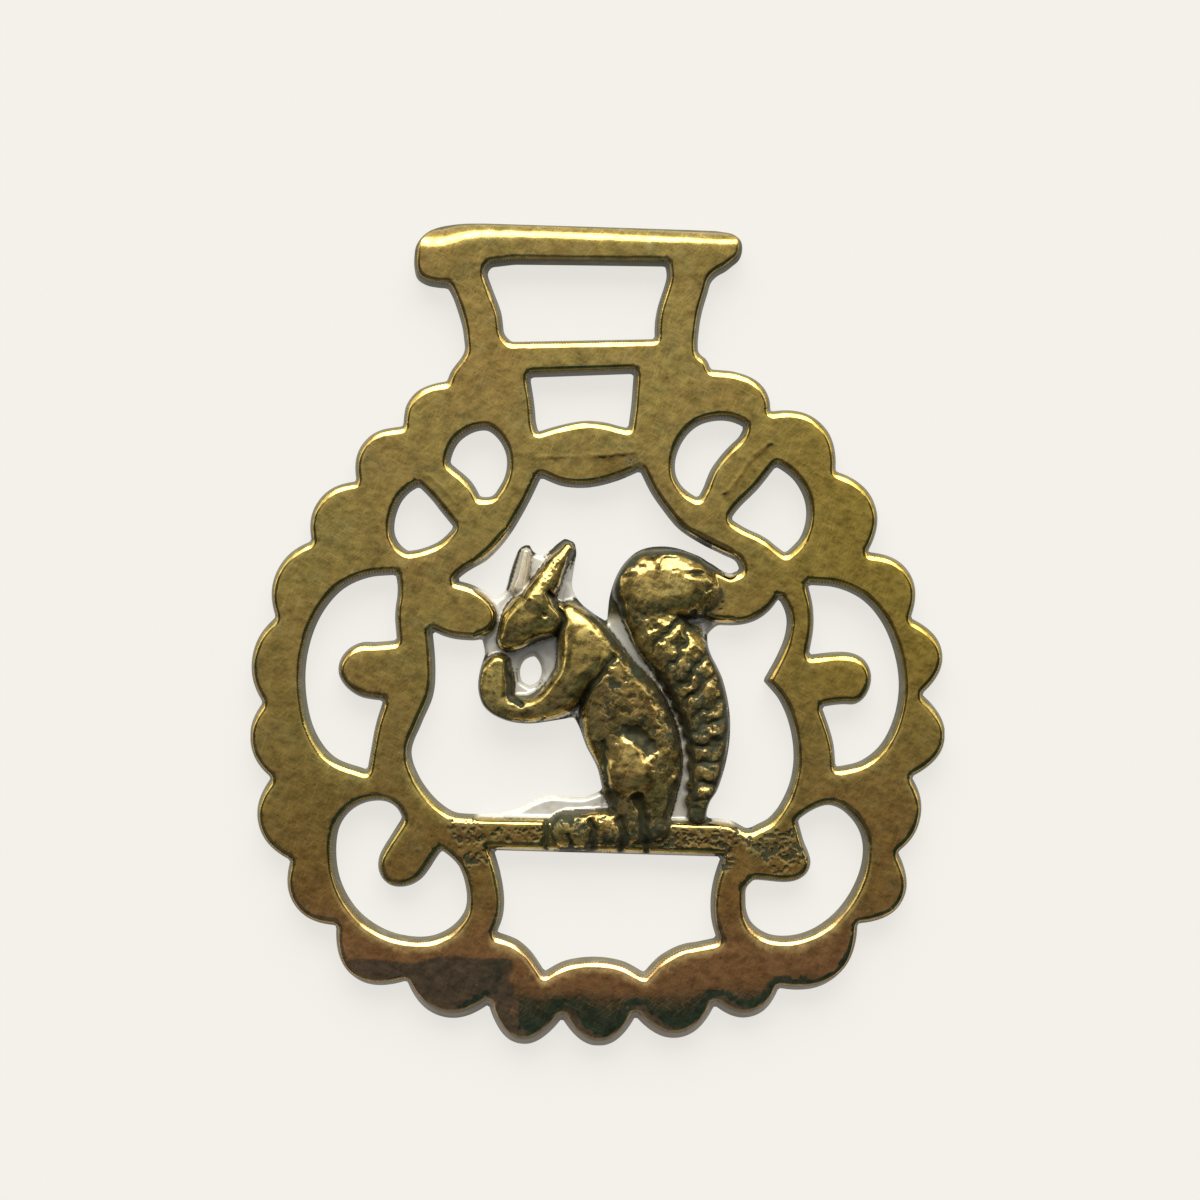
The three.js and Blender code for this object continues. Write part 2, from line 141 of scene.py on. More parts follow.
TABLE_SIZE = 256
TABLE = rng.random((TABLE_SIZE, TABLE_SIZE))
TABLE_START = 1000
SHIFT_STRIDE = (31.7, 17.3)  # places in the table from one shift of the noise to the next


def noise(x, y, size, shift=0.0):
    """Smooth random values from -1 to 1, in lumps of about the given size. Each shift gives other values."""
    u = x / size + SHIFT_STRIDE[0] * shift + TABLE_START
    v = y / size + SHIFT_STRIDE[1] * shift + TABLE_START
    i, j = np.floor(u).astype(int), np.floor(v).astype(int)
    s, t = u - i, v - j
    s, t = s * s * (3 - 2 * s), t * t * (3 - 2 * t)
    i0, i1 = i % TABLE_SIZE, (i + 1) % TABLE_SIZE
    j0, j1 = j % TABLE_SIZE, (j + 1) % TABLE_SIZE
    lower = TABLE[i0, j0] * (1 - s) + TABLE[i1, j0] * s
    upper = TABLE[i0, j1] * (1 - s) + TABLE[i1, j1] * s
    return 2 * (lower * (1 - t) + upper * t) - 1


def rough(x, y, size, octaves=3, shift=0.0):
    """Noise of several sizes, each half the one before."""
    return sum(noise(x, y, size / 2**n, shift + n) / 2**n for n in range(octaves)) / 1.6


def spline(stations, count=14):
    """Points on the smooth line through stations of any number of values."""
    p = np.array(stations, float)
    if len(p) == 2:
        t = np.linspace(0, 1, count)[:, None]
        return p[0] * (1 - t) + p[1] * t
    p = np.vstack([2 * p[0] - p[1], p, 2 * p[-1] - p[-2]])
    out = []
    for a, b, c, d in zip(p, p[1:], p[2:], p[3:]):
        t = np.linspace(0, 1, count, endpoint=False)[:, None]
        square, cube = 2 * a - 5 * b + 4 * c - d, 3 * b - a - 3 * c + d
        out.append(0.5 * (2 * b + (c - a) * t + square * t**2 + cube * t**3))
    return np.vstack(out + [p[-2:-1]])


def drawn(stations, count=14):
    """The smooth line through stations, moved to where the solid lies."""
    line = spline(stations, count)
    line[:, :2] += SHIFT
    return line


def flat_line(points, count):
    """Places along the smooth line through x and y points, moved to where the solid lies."""
    return spline([(*p, 0) for p in points], count)[:, :2] + SHIFT


def beside_segment(a, b, x, y):
    """The share of the way from a to b that is nearest to each place, and the gap between them."""
    run = b[:2] - a[:2]
    t = np.clip(((x - a[0]) * run[0] + (y - a[1]) * run[1]) / max(run @ run, 1e-9), 0, 1)
    return t, np.hypot(x - a[0] - t * run[0], y - a[1] - t * run[1])


def nearest_on(line, x, y):
    """For each place, the share along a line, how far to the line's right it lies, and the line's values."""
    far = np.full(x.shape, np.inf)
    along, beside = np.zeros(x.shape), np.zeros(x.shape)
    values = np.zeros((line.shape[1] - 2, *x.shape))
    for k, (a, b) in enumerate(zip(line, line[1:])):
        t, gap = beside_segment(a, b, x, y)
        near = gap < far
        far[near] = gap[near]
        along[near] = ((k + t) / (len(line) - 1))[near]
        side = np.sign((x - a[0]) * (b[1] - a[1]) - (y - a[1]) * (b[0] - a[0]))
        beside[near] = (side * gap)[near]
        for c in range(len(values)):
            values[c][near] = (a[2 + c] + t * (b[2 + c] - a[2 + c]))[near]
    return along, beside, values


def limb_height(stations, x, y, count=14, wider=0.0):
    """Height of a rounded limb over the back at each place, or NO_LIMB beside it."""
    line = drawn(stations, count)
    best = np.full(x.shape, NO_LIMB)
    for a, b in zip(line, line[1:]):
        t, gap = beside_segment(a, b, x, y)
        width = a[2] + t * (b[2] - a[2]) + wider
        height = a[3] + t * (b[3] - a[3])
        share = gap / width
        dome = LIMB_BASE + (height - LIMB_BASE) * np.clip(1 - share**PLUMPNESS, 0, 1) ** (1 / PLUMPNESS)
        best = np.maximum(best, np.where(share < 1, dome, NO_LIMB))
    return best


def bell(spacing, sigma):
    """Weights of a bell curve, and how many spacings it reaches to each side."""
    reach = int(3 * sigma / spacing) + 1
    weights = np.exp(-0.5 * (np.arange(-reach, reach + 1) * spacing / sigma) ** 2)
    return weights / weights.sum(), reach


# ---- The solid's outline at its back ----

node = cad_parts["horse_brass"]
solid_points = np.array([node.matrix_world @ v.co for v in node.data.vertices]) / MM
solid_faces = [tuple(p.vertices) for p in node.data.polygons]


def back_loops():
    """The outline and the openings at Z = 0, each as points in order with the metal on the left."""
    merged = {}
    index = np.array([merged.setdefault(tuple(np.round(p, 3)), len(merged)) for p in solid_points])
    places = np.array(list(merged))
    directed = set()
    for face in solid_faces:
        ids = [int(index[v]) for v in face]
        if max(abs(places[i][2]) for i in ids) < 1e-3:
            directed.update((ids[(k + 1) % len(ids)], ids[k]) for k in range(len(ids)))
    following = {a: b for a, b in directed if (b, a) not in directed}
    loops = []
    while following:
        start, here = following.popitem()
        loop = [start]
        while here != start:
            loop.append(here)
            here = following.pop(here)
        loops.append(places[loop][:, :2])
    return loops


CORNER_TURN = math.radians(48)  # a loop that turns more than this at a point has a real corner there


def resampled(loop, spacing):
    """Points at an even spacing along a closed smooth curve through a loop, which keeps its real corners."""
    before, after = np.roll(loop, 1, 0), np.roll(loop, -1, 0)
    a, b = loop - before, after - loop
    turn = np.abs(np.arctan2(a[:, 0] * b[:, 1] - a[:, 1] * b[:, 0], (a * b).sum(1)))
    corner = turn > CORNER_TURN
    out = []
    for k in range(len(loop)):
        p1, p2 = loop[k], loop[(k + 1) % len(loop)]
        length = np.linalg.norm(p2 - p1)
        if length < 1e-6:
            continue
        p0 = loop[k - 1] if not corner[k] else 2 * p1 - p2
        p3 = loop[(k + 2) % len(loop)] if not corner[(k + 1) % len(loop)] else 2 * p2 - p1
        m1 = (p2 - p0) * length / (length + max(np.linalg.norm(p1 - p0), 1e-6))
        m2 = (p3 - p1) * length / (length + max(np.linalg.norm(p3 - p2), 1e-6))
        t = np.arange(0, 1, min(spacing / length, 0.5))[:, None]
        h = [2 * t**3 - 3 * t**2 + 1, t**3 - 2 * t**2 + t, -2 * t**3 + 3 * t**2, t**3 - t**2]
        out.append(h[0] * p1 + h[1] * m1 + h[2] * p2 + h[3] * m2)
    dense = np.vstack(out)
    dense = np.vstack([dense, dense[:1]])
    along = np.concatenate([[0], np.cumsum(np.linalg.norm(np.diff(dense, axis=0), axis=1))])
    count = max(int(along[-1] / spacing), 12)
    at = np.linspace(0, along[-1], count, endpoint=False)
    return np.stack([np.interp(at, along, dense[:, c]) for c in (0, 1)], 1)


def eased(points, spacing, sigma):
    """A closed line of points smoothed along its length, which rounds its corners a little."""
    weights, reach = bell(spacing, sigma)
    return sum(w * np.roll(points, k, 0) for w, k in zip(weights, range(-reach, reach + 1)))


def inward(points):
    """Unit steps into the metal at each point of a closed line."""
    along = np.roll(points, -1, 0) - np.roll(points, 1, 0)
    along /= np.linalg.norm(along, axis=1)[:, None]
    return np.stack([-along[:, 1], along[:, 0]], 1)


FINE = 0.05  # spacing of the points that distances are measured from
CORNER_EASE = 0.16  # how far the corners are rounded
low = np.array(cad_bounds[0])[:2] / MM
high = np.array(cad_bounds[1])[:2] / MM
dense_loops = [np.clip(eased(resampled(loop, FINE), FINE, CORNER_EASE), low, high) for loop in back_loops()]
dense_normals = [inward(loop) for loop in dense_loops]
edge_points = np.vstack(dense_loops)
edge_normals = np.vstack(dense_normals)
edge_tree = KDTree(len(edge_points))
for i, (x, y) in enumerate(edge_points):
    edge_tree.insert((x, y, 0), i)
edge_tree.balance()


def distance(points, with_facing=False):
    """How far each point lies inside the outline, negative outside, and how much its edge faces +Y."""
    out, facing = np.empty(len(points)), np.empty(len(points))
    for i, (x, y) in enumerate(points):
        place, k, gap = edge_tree.find((x, y, 0))
        inside = (x - place[0]) * edge_normals[k][0] + (y - place[1]) * edge_normals[k][1]
        out[i] = gap if inside >= 0 else -gap
        facing[i] = -edge_normals[k][1]
    return (out, facing) if with_facing else out


# ---- Height of the surface ----

MAP_STEP = 0.1
MAP_MARGIN = 1.0
LAST_ROW = 1.001  # keeps a place just short of a map's last row
RAY_FROM = 20  # above the highest point of the relief
EDGE_BLUR = 0.16


def blurred(values, sigma):
    """A map of values smoothed in both ways."""
    weights, reach = bell(MAP_STEP, sigma)
    for axis in (0, 1):
        padded = np.pad(values, [(reach, reach) if axis == a else (0, 0) for a in (0, 1)])
        length = values.shape[axis]
        values = sum(w * np.take(padded, range(k, k + length), axis) for k, w in enumerate(weights))
    return values


def on_map(values, start, x, y):
    """Where each place lies on a map, in steps from its start and kept inside it."""
    u = np.clip((x - start[0]) / MAP_STEP, 0, values.shape[0] - LAST_ROW)
    v = np.clip((y - start[1]) / MAP_STEP, 0, values.shape[1] - LAST_ROW)
    return u, v


class SolidMap:
    """The solid's height over a box, capped at the face's height and smoothed a little."""

    def __init__(self, box):
        tree = BVHTree.FromPolygons([tuple(p) for p in solid_points], solid_faces)
        self.start = (box[0] - MAP_MARGIN, box[1] - MAP_MARGIN)
        nx = int((box[2] - box[0] + 2 * MAP_MARGIN) / MAP_STEP)
        ny = int((box[3] - box[1] + 2 * MAP_MARGIN) / MAP_STEP)
        height = np.zeros((nx, ny))
        down = Vector((0, 0, -1))
        for i in range(nx):
            for j in range(ny):
                above = (self.start[0] + i * MAP_STEP, self.start[1] + j * MAP_STEP, RAY_FROM)
                hit = tree.ray_cast(Vector(above), down)[0]
                height[i, j] = min(hit.z, FACE) if hit else -1
        metal = (height >= 0).astype(float)
        self.values = blurred(height * metal, EDGE_BLUR) / np.maximum(blurred(metal, EDGE_BLUR), 1e-3)

    def __call__(self, x, y):
        u, v = on_map(self.values, self.start, x, y)
        i, j = u.astype(int), v.astype(int)
        s, t = u - i, v - j
        lower = self.values[i, j] * (1 - s) + self.values[i + 1, j] * s
        upper = self.values[i, j + 1] * (1 - s) + self.values[i + 1, j + 1] * s
        return lower * (1 - t) + upper * t


relief_map = SolidMap(RELIEF_BOX)


WORN_WALL, WORN_ROUND = -0.06, 0.55  # changes of WALL_RUN and ROUND_RUN at an edge that faces +Y
LOWEST_WALL = 0.5  # change of WALL_RUN under the lowest lobes
EDGE_RAGGED, EDGE_CURVE = 0.07, 2.3


def frame_height(d, facing, x, y):
    """The wall, the rounded edge and the flat face, by the distance from the outline, and where the wall is.

    Edges that face +Y are worn rounder. The walls under the lowest lobes lean the most.
    """
    lowest = smoothstep(*LOWEST_LOBES, y) * np.clip(-facing, 0, 1)
    wall_run = WALL_RUN + WORN_WALL * np.clip(facing, 0, 1) + LOWEST_WALL * lowest
    round_run = ROUND_RUN + WORN_ROUND * np.clip(facing, 0, 1)
    wall = WALL_TOP * d / wall_run
    ragged = EDGE_RAGGED * rough(x, y, 1.6, 3, 23) * smoothstep(0, 0.3, d - wall_run)
    t = np.clip((d + ragged - wall_run) / round_run, 0, 1)
    edge = WALL_TOP + (FACE - WALL_TOP) * (1 - (1 - t) ** EDGE_CURVE)
    return np.where(d < wall_run, wall, edge), smoothstep(1.45, 1.15, d / wall_run)


def box_share(box, x, y, soft):
    """1 inside a box, 0 outside, with a soft border inside it."""
    inside = np.minimum(np.minimum(x - box[0], box[2] - x), np.minimum(y - box[1], box[3] - y))
    return smoothstep(0, soft, inside)


LINE_STEPS = 8  # points that a vein or a cut gets between two of its own


def ridge(x, y, line, width, size):
    """A soft line along points: how high it stands, or how deep it lies, at each place."""
    line = flat_line(line, LINE_STEPS)
    gap = np.min([beside_segment(a, b, x, y)[1] for a, b in zip(line, line[1:])], 0)
    return size * np.exp(-((gap / width) ** 2))


# Raised veins of the leaves: points, half width to the left of the way, to the right of it, and height
VEINS = [
    ([(-7.2, 19.2), (-5.6, 19.35), (-3.4, 19.4), (-1.2, 19.5), (1.7, 19.6), (4.5, 19.9)], 0.13, 0.4, 0.022),
    ([
        (13.2, 15.2), (14.4, 16.0), (15.1, 17.0), (15.6, 17.7), (16.2, 18.7), (16.8, 19.4), (18.3, 20.7),
        (19.2, 21.0),
    ], 0.15, 0.42, 0.040),
    ([(-18.5, 17.6), (-16.8, 16.0), (-15.0, 13.9)], 0.13, 0.4, 0.015),
]
LEAF_DIMPLE, DIMPLE_HALF, DIMPLE_DEPTH = (-1.0, 19.9), 0.25, 0.02

# Patches of rough pitted metal: x, y, half width, half height, depth of the pits, and their size
PIT_PATCHES = [
    (1.6, -5, 2.6, 2.6, 0.13, 0.8), (2.6, -8.4, 3.4, 2.6, 0.14, 0.8), (6.4, -9, 2.2, 3.6, 0.15, 0.7),
    (7.2, -13.4, 1.8, 3.6, 0.14, 0.8), (1.2, -10.8, 2, 1.6, 0.10, 0.7), (9.4, 2, 3.6, 1.1, 0.3, 1),
    (12.6, 3.6, 1.3, 2, 0.3, 0.9), (5.6, 2.2, 3, 2, 0.1, 1), (8.6, 7.3, 2.8, 0.7, 0.12, 0.8),
    (-5.0, 6.4, 1.5, 2.4, 0.10, 0.6), (-10.0, -8.6, 3.0, 1.6, 0.05, 0.7), (-4.5, -9.5, 3.0, 1.4, 0.07, 0.8),
    (19.6, -23.2, 3.4, 2.8, 0.13, 0.5), (14.4, -22, 3.4, 1.5, 0.16, 0.5), (-14.4, -21.3, 2.2, 2, 0.16, 0.5),
    (-8.6, -21.4, 3.4, 1.4, 0.08, 0.5), (8.8, -21.8, 3.6, 1.4, 0.15, 0.5), (-13, -24.4, 1.6, 1.2, 0.18, 0.6),
    (1, -20.4, 6.4, 2.6, 0.13, 0.6), (13.6, -24.4, 1.6, 1.3, 0.16, 0.6),
]

# Cuts between the squirrel's parts: points, half width and depth
CUTS = [
    ([(-5.75, -20.3), (-5.6, -21.6), (-5.7, -23.2)], 0.2, 0.5),  # before the toes
    ([(-3.1, -21.6), (-3.0, -23.4)], 0.2, 0.4),
    ([(-0.7, -20.2), (-0.5, -21.6), (-0.7, -23.4)], 0.42, 0.6),
    ([(2.3, -20.0), (2.7, -21.4), (2.6, -23.4)], 0.42, 0.65),
    ([(4.3, -17.6), (4.9, -19.0), (5.0, -20.8), (5.2, -23.4)], 0.5, 0.8),
    ([(1.4, -17.2), (1.3, -18.6)], 0.5, 0.5),
    ([(-4.3, 3.9), (-3.5, 6.2), (-2.8, 8.8)], 0.25, 0.9),  # inside of the front ear
    ([(-5.1, 4.6), (-4.3, 2.9), (-3.75, 1.6), (-4.6, 0.0)], 0.26, 0.9),  # between the head and the neck
    ([(-2.2, -8.0), (-1.6, -6.8), (-0.4, -5.2), (0.8, -3.8), (1.7, -2.4)], 0.3, 0.5),  # under the arm
    ([(-9.9, -2.9), (-9.6, -5.0), (-9.2, -6.6), (-8.2, -7.5)], 0.22, 0.7),  # between the nut and the paw
    ([(0.6, -11.6), (0.7, -14.0), (1.2, -16.4)], 0.3, 0.5),  # before the haunch
]
# Rounded hollows: x, y, half width, half height and depth
HOLLOWS = [
    (4.0, -10.6, 1.2, 0.9, 0.9), (5.4, -12.0, 0.9, 1.0, 0.9),  # in the flank
    (-5.7, 2.2, 0.22, 0.22, 0.4),  # on the cheek
    (10.8, 6.6, 0.9, 0.3, 0.4),  # at the crown's right end
]


def vein_height(x, y, line, left, right, rise):
    """Height of a wavy raised vein that is steep on its left and soft on its right."""
    along, beside, _ = nearest_on(flat_line(line, LINE_STEPS), x, y + 0.10 * noise(x, y, 0.8, 25))
    ends = smoothstep(0, 0.06, along) * smoothstep(1, 0.94, along)
    gap = beside / np.where(beside < 0, left, right)
    return rise * ends * (0.9 + 0.3 * noise(x, y, 0.6, 26)) * np.exp(-(gap**2))


def patch_share(x, y, cx, cy, half_x, half_y):
    """1 in the middle of an oval patch and 0 outside it, with a ragged border."""
    far = np.hypot((x - cx - SHIFT[0]) / half_x, (y - cy - SHIFT[1]) / half_y)
    return smoothstep(1.05, 0.6, far + 0.25 * noise(x, y, 0.9, 11))


def pits(x, y):
    """How deep the ragged pits are at each place, and how tarnished the metal is round them."""
    depth, tarnish = np.zeros(x.shape), np.zeros(x.shape)
    for k, (cx, cy, half_x, half_y, deep, size) in enumerate(PIT_PATCHES):
        share = patch_share(x, y, cx, cy, half_x, half_y)
        wide = rough(x + 0.2 * noise(x, y, 0.4, 12), y, size, 3, 20 + k)
        small = rough(x, y, 0.42 * size, 2, 50 + k)
        hole = smoothstep(0.12, 0.5, wide) + 0.6 * smoothstep(0.3, 0.7, small)
        depth = np.maximum(depth, deep * share * hole)
        tarnish = np.maximum(tarnish, share * deep / 0.16)
    return depth, np.minimum(tarnish, 1)


def tail_height(x, y):
    """Height of the tail with its lumpy rolls of fur, or NO_LIMB beside it, and its gaps, where shade is
    painted.
    """
    line = drawn(TAIL, TAIL_STEPS)
    bare = limb_height(TAIL, x, y, TAIL_STEPS)
    along, beside, (width, _) = nearest_on(line, x, y)
    share = beside / width
    roll = (along - FUR_FROM) / (FUR_TO - FUR_FROM) * (FUR_ROLLS - 1) - FUR_TILT * beside / 2
    roll = roll + 0.30 * noise(x, y, 1.5, 5) + 0.12 * noise(x, y, 0.6, 6)
    gap = np.abs(2 * (roll - np.floor(roll)) - 1)  # 0 on a roll's back, 1 in the gap after it
    fade = smoothstep(-0.6, 0.3, roll) * smoothstep(FUR_ROLLS + 0.2, FUR_ROLLS - 0.8, roll)
    strength = fade * (0.75 + 0.4 * noise(x, y, 1.1, 7)) * smoothstep(-1.15, -0.2, share)
    fur = 0.8 * strength * (0.35 - 0.8 * gap**2.4) + 0.18 * rough(x, y, 0.8, 3, 8)
    edge = np.clip(1 - np.abs(share), 0, 1) ** 0.3
    height = np.where(bare > 0, bare + fur * (0.5 + 0.5 * edge), bare)
    return height, np.where(bare > 0, strength * smoothstep(0.5, 0.95, gap), 0)


BAR_ROUNDNESS = 2.2  # exponent of the bar's worn top: 2 is an ellipse


def bar_height(x, y, plain):
    """Height of the strap bar: worn round towards the top of the brass, and level with its posts below."""
    line = drawn(STRAP_BAR)
    middle, width, top = (np.interp(x, line[:, 0], line[:, c]) for c in (1, 2, 3))
    lifted = plain + (top - FACE) * smoothstep(4.5, 0, middle - y)
    share = np.clip((y - middle) / width, 0, 1)
    crest = LIMB_BASE + (top - LIMB_BASE) * (1 - share**BAR_ROUNDNESS) ** (1 / BAR_ROUNDNESS)
    return soft_min(lifted, crest + 0.03 * noise(x, y, 1.2, 27), 0.1)


def back_fringe(x, y):
    """1 along the rough fur of the squirrel's back, beside the web."""
    along, beside, (width, _) = nearest_on(drawn(LIMBS["trunk"][1]), x, y)
    share = -beside / width + 0.12 * noise(x, y, 0.8, 17)
    return smoothstep(0.55, 0.80, share) * smoothstep(1.2, 1.05, share) * smoothstep(0.02, 0.12, along)


def crown_rim(x, y, d):
    """1 on the steep dark rim round the left and the top of the tail's crown."""
    left = smoothstep(4.3, 3.2, x + 0.5 * noise(x, y, 1.0, 18)) * smoothstep(0.8, 2.6, y) * (x > 0.9)
    top = smoothstep(1.35, 0.75, d + 0.3 * noise(x, y, 0.8, 19)) * (y > 6.2) * (x > 1) * (x < 12.4)
    return np.clip(left + top, 0, 1) * smoothstep(11.5, 9.5, y)


def squirrel_height(x, y):
    """Heights of all the squirrel's limbs and of its tail alone, and the gaps in its fur, where shade is
    painted.
    """
    lumpy_x = x + 0.12 * noise(x, y, 1.7, 3)
    lumpy_y = y + 0.12 * noise(x, y, 1.7, 4)
    height = np.full(x.shape, NO_LIMB)
    for fillet, stations in LIMBS.values():
        height = soft_max(height, limb_height(stations, lumpy_x, lumpy_y), fillet)
    # The crown leans a little towards the strap loop
    height = height - CROWN_LEAN * (y - CROWN_AT[1]) * patch_share(x, y, *CROWN_AT, *CROWN_HALF)
    tail, gaps = tail_height(lumpy_x, lumpy_y)
    gaps = gaps * smoothstep(-0.3, 0.3, tail - height)
    return soft_max(height, tail, 0.3), tail, gaps


def at_limbs(x, y, reach):
    """1 on the squirrel and within a short reach of it, 0 elsewhere."""
    lines = [stations for _, stations in LIMBS.values()] + [TAIL]
    return np.max([limb_height(stations, x, y, wider=reach) > 0 for stations in lines], 0).astype(float)


# Slow waves and grain of the flat face: height and size
WAVES, GRAIN = (0.004, 14), (0.0006, 3.0)
# The face falls a little near its edges: how deep, up to which distance from the outline, and over which run
EDGE_FALL, EDGE_FALL_FROM, EDGE_FALL_RUN = 0.003, 0.9, 0.6
# The lobes at the lower left lean: y where that starts, x where it ends, and the fall for each millimetre
LEAN_Y, LEAN_X, LEAN_FALL = -35.3, (-9.3, -10.1), 0.0155
# The leaf under the strap slot falls away from its vein: the vein's y at x = 0, its slope, and how far down the
# leaf that goes on; where it ends to the left and right, the least y of the leaf, and the fall per millimetre
LEAF_VEIN, LEAF_SLOPE, LEAF_REACH = 19.5, 0.06, 2.6
LEAF_LEFT, LEAF_RIGHT, LEAF_FOOT, LEAF_FALL = (-1.6, 0.8), (5.4, 4.2), 15, 0.034


def face_details(plain, x, y, d):
    """The face with its waves, leans, veins and dimple, and how far each place is below the leaf's vein."""
    inner = smoothstep(0.3, 1.2, d)
    grain = WAVES[0] * rough(x, y, WAVES[1], 1, 1) + GRAIN[0] * rough(x, y, GRAIN[1], 2, 2)
    plain = plain + inner * grain
    plain = plain - EDGE_FALL * np.exp(-np.maximum(d - EDGE_FALL_FROM, 0) / EDGE_FALL_RUN) * inner
    lean_from = LEAN_Y + 0.6 * noise(x, y, 4.0, 13)
    leaning = smoothstep(*LEAN_X, x + 0.5 * noise(x, y, 2.2, 24))
    plain = plain - LEAN_FALL * np.maximum(lean_from - y, 0) * leaning
    for vein in VEINS:
        plain = plain + vein_height(x, y, *vein)
    below = np.clip(LEAF_VEIN + LEAF_SLOPE * x - y, 0, LEAF_REACH) * (y > LEAF_FOOT)
    below = below * smoothstep(*LEAF_LEFT, x) * smoothstep(*LEAF_RIGHT, x)
    plain = plain - LEAF_FALL * below
    dimple = np.hypot(x - LEAF_DIMPLE[0] - SHIFT[0], y - LEAF_DIMPLE[1] - SHIFT[1])
    return plain - DIMPLE_DEPTH * np.exp(-((dimple / DIMPLE_HALF) ** 2)), below


def cut_depth(x, y):
    """How deep the cuts and hollows between the squirrel's parts are at each place."""
    cuts = np.zeros(x.shape)
    for line, width, depth in CUTS:
        cuts = cuts + ridge(x + 0.2 * noise(x, y, 0.8, 14), y, line, width, depth)
    for cx, cy, half_x, half_y, depth in HOLLOWS:
        far = ((x - cx - SHIFT[0]) / half_x) ** 2 + ((y - cy - SHIFT[1]) / half_y) ** 2
        cuts = cuts + depth * np.exp(-far * (1 + 0.5 * noise(x, y, 0.8, 15)))
    return cuts


STEEPEST = 13  # the most that the relief stands over the back for each millimetre from the outline
CARVED = (3.1, 3.5)  # heights over which the relief turns from web and face into carving
# Share of the web's pale grey, a painted reflection of the floor, that the back ear gets
EAR_PALE = 0.65
FRINGE_HEIGHT = 0.22
PIT_SHARE = 0.5  # how much of a pit's depth is in the mesh
LOWEST_TOP = 0.02  # least height of the top inside the outline

# Dirt in pits, painted shade between the rolls of fur, dirt along the back's fur, darkening below the leaf's
# vein, dirt on the tail, painted shade at the limbs' feet, and dirt on the squirrel's feet and on its nut and
# paw
PIT_DIRT, GAP_SHADE, FRINGE_DIRT, LEAF_DARKENING = 1.4, 1.1, 1.1, 0.30
TAIL_DIRT, LIMB_FOOT_SHADE, FEET_DIRT, NUT_DIRT = 1.10, 0.8, 0.85, 0.70
DARK_CUT = 0.7  # depth at which a cut is quite dark
MOST_DIRT_AND_SHADE = 1.5


def surface(x, y, d, facing):
    """Height of the casting's top at points a distance d inside its outline, and masks of what is there."""
    plain, wall = frame_height(d, facing, x, y)
    plain, below = face_details(plain, x, y, d)
    in_bar = box_share(BAR_BOX, x, y, 0.6)
    height = plain + in_bar * (bar_height(x, y, plain) - plain)

    # The squirrel's limbs on the web
    base = relief_map(x, y)
    limbs, tail, gaps = squirrel_height(x, y)
    fringe = back_fringe(x, y)
    limbs = limbs + fringe * FRINGE_HEIGHT * rough(x, y, 0.9, 2, 21)
    rim = crown_rim(x, y, d)
    foot = np.maximum(at_limbs(x, y, LIMB_FOOT), at_limbs(x, y, WALL_FOOT) * (d < WALL_FOOT))
    web = smoothstep(WEB + 0.7, WEB + 0.15, base) * (1 - foot) * (1 - rim)
    # The back ear gets part of the web's pale grey, a painted reflection of the floor
    back_ear = (limb_height(LIMBS["backEar"][1], x, y) > 0) * smoothstep(3.6, 3.2, limbs)
    web = np.maximum(web, EAR_PALE * back_ear)
    base = base + 0.05 * rough(x, y, 1.4, 3, 10) * web
    relief = soft_max(base, limbs, 0.25)
    cuts = cut_depth(x, y)
    relief = np.maximum(relief - cuts, np.minimum(base, WEB) - 0.1)
    relief = relief + 0.03 * rough(x, y, 1.6, 3, 16) * smoothstep(3.1, 3.6, relief)
    relief = soft_min(relief, STEEPEST * d, 0.7)
    in_relief = box_share(RELIEF_BOX, x, y, 1.0)
    height = height + in_relief * (relief - height)

    holes, tarnish = pits(x, y)
    height = height - PIT_SHARE * holes * smoothstep(0.35, 0.8, d)
    height = np.where(d <= 0, 0, np.maximum(height, LOWEST_TOP))

    carved = in_relief * smoothstep(*CARVED, relief + cuts)
    # Patina in the cuts and on the crown's rim, dirt along the back's fur, and painted shade in the gaps
    # between the rolls of fur
    in_dips = cuts / DARK_CUT + GAP_SHADE * gaps + FRINGE_DIRT * fringe * carved + rim
    dark = PIT_DIRT * smoothstep(0.02, 0.12, holes) + in_relief * in_dips
    # Darker below the leaf's vein
    dark = dark + LEAF_DARKENING * smoothstep(0.1, 0.5, below)
    on_tail = smoothstep(5.0, 7.6, x + 0.6 * noise(x, y, 1.5, 28)) * smoothstep(0.5, -4.5, y)
    dark = dark + in_relief * carved * TAIL_DIRT * on_tail * (tail > limbs - 0.3)
    # Painted shade at the feet of the limbs, where they meet the web
    dark = dark + LIMB_FOOT_SHADE * in_relief * foot * smoothstep(3.4, 2.6, relief)
    dark = dark + in_relief * carved * FEET_DIRT * smoothstep(-16, -20, y + noise(x, y, 2.0, 29))
    dark = dark + in_relief * carved * NUT_DIRT * smoothstep(-7.0, -9.0, x) * smoothstep(-2.0, -4.5, y)
    # Where the walls get patina and painted shade, and, under the lowest lobes, painted floor light
    low_wall = wall * (1 - in_relief) + in_relief * smoothstep(0.3, 0.2, d) * (limbs < 1.6)
    return height, {
        "worn": in_bar * smoothstep(39.2, 41.5, y), "web": web * in_relief,
        "dark": np.clip(dark, 0, MOST_DIRT_AND_SHADE), "carved": carved, "wall": low_wall,
        "floor_lit_wall": low_wall * smoothstep(*LOWEST_LOBES, y), "tarnish": tarnish,
    }


# ---- Points of the fine mesh ----

RINGS = [0.1, 0.2, 0.3, 0.37, 0.42, 0.48, 0.56, 0.67, 0.8, 0.96, 1.2]  # distances from the outline
RING_SPACING = 0.3
RINGS_IN_RELIEF = 0.4  # deeper rings stop at the relief, which has its own grid
RING_SLACK = 0.006  # how much nearer to another edge a ring's point may lie
ROW_SHARE = 0.866  # gap between a triangular grid's rows, for each step along a row
SHAKE = 0.12

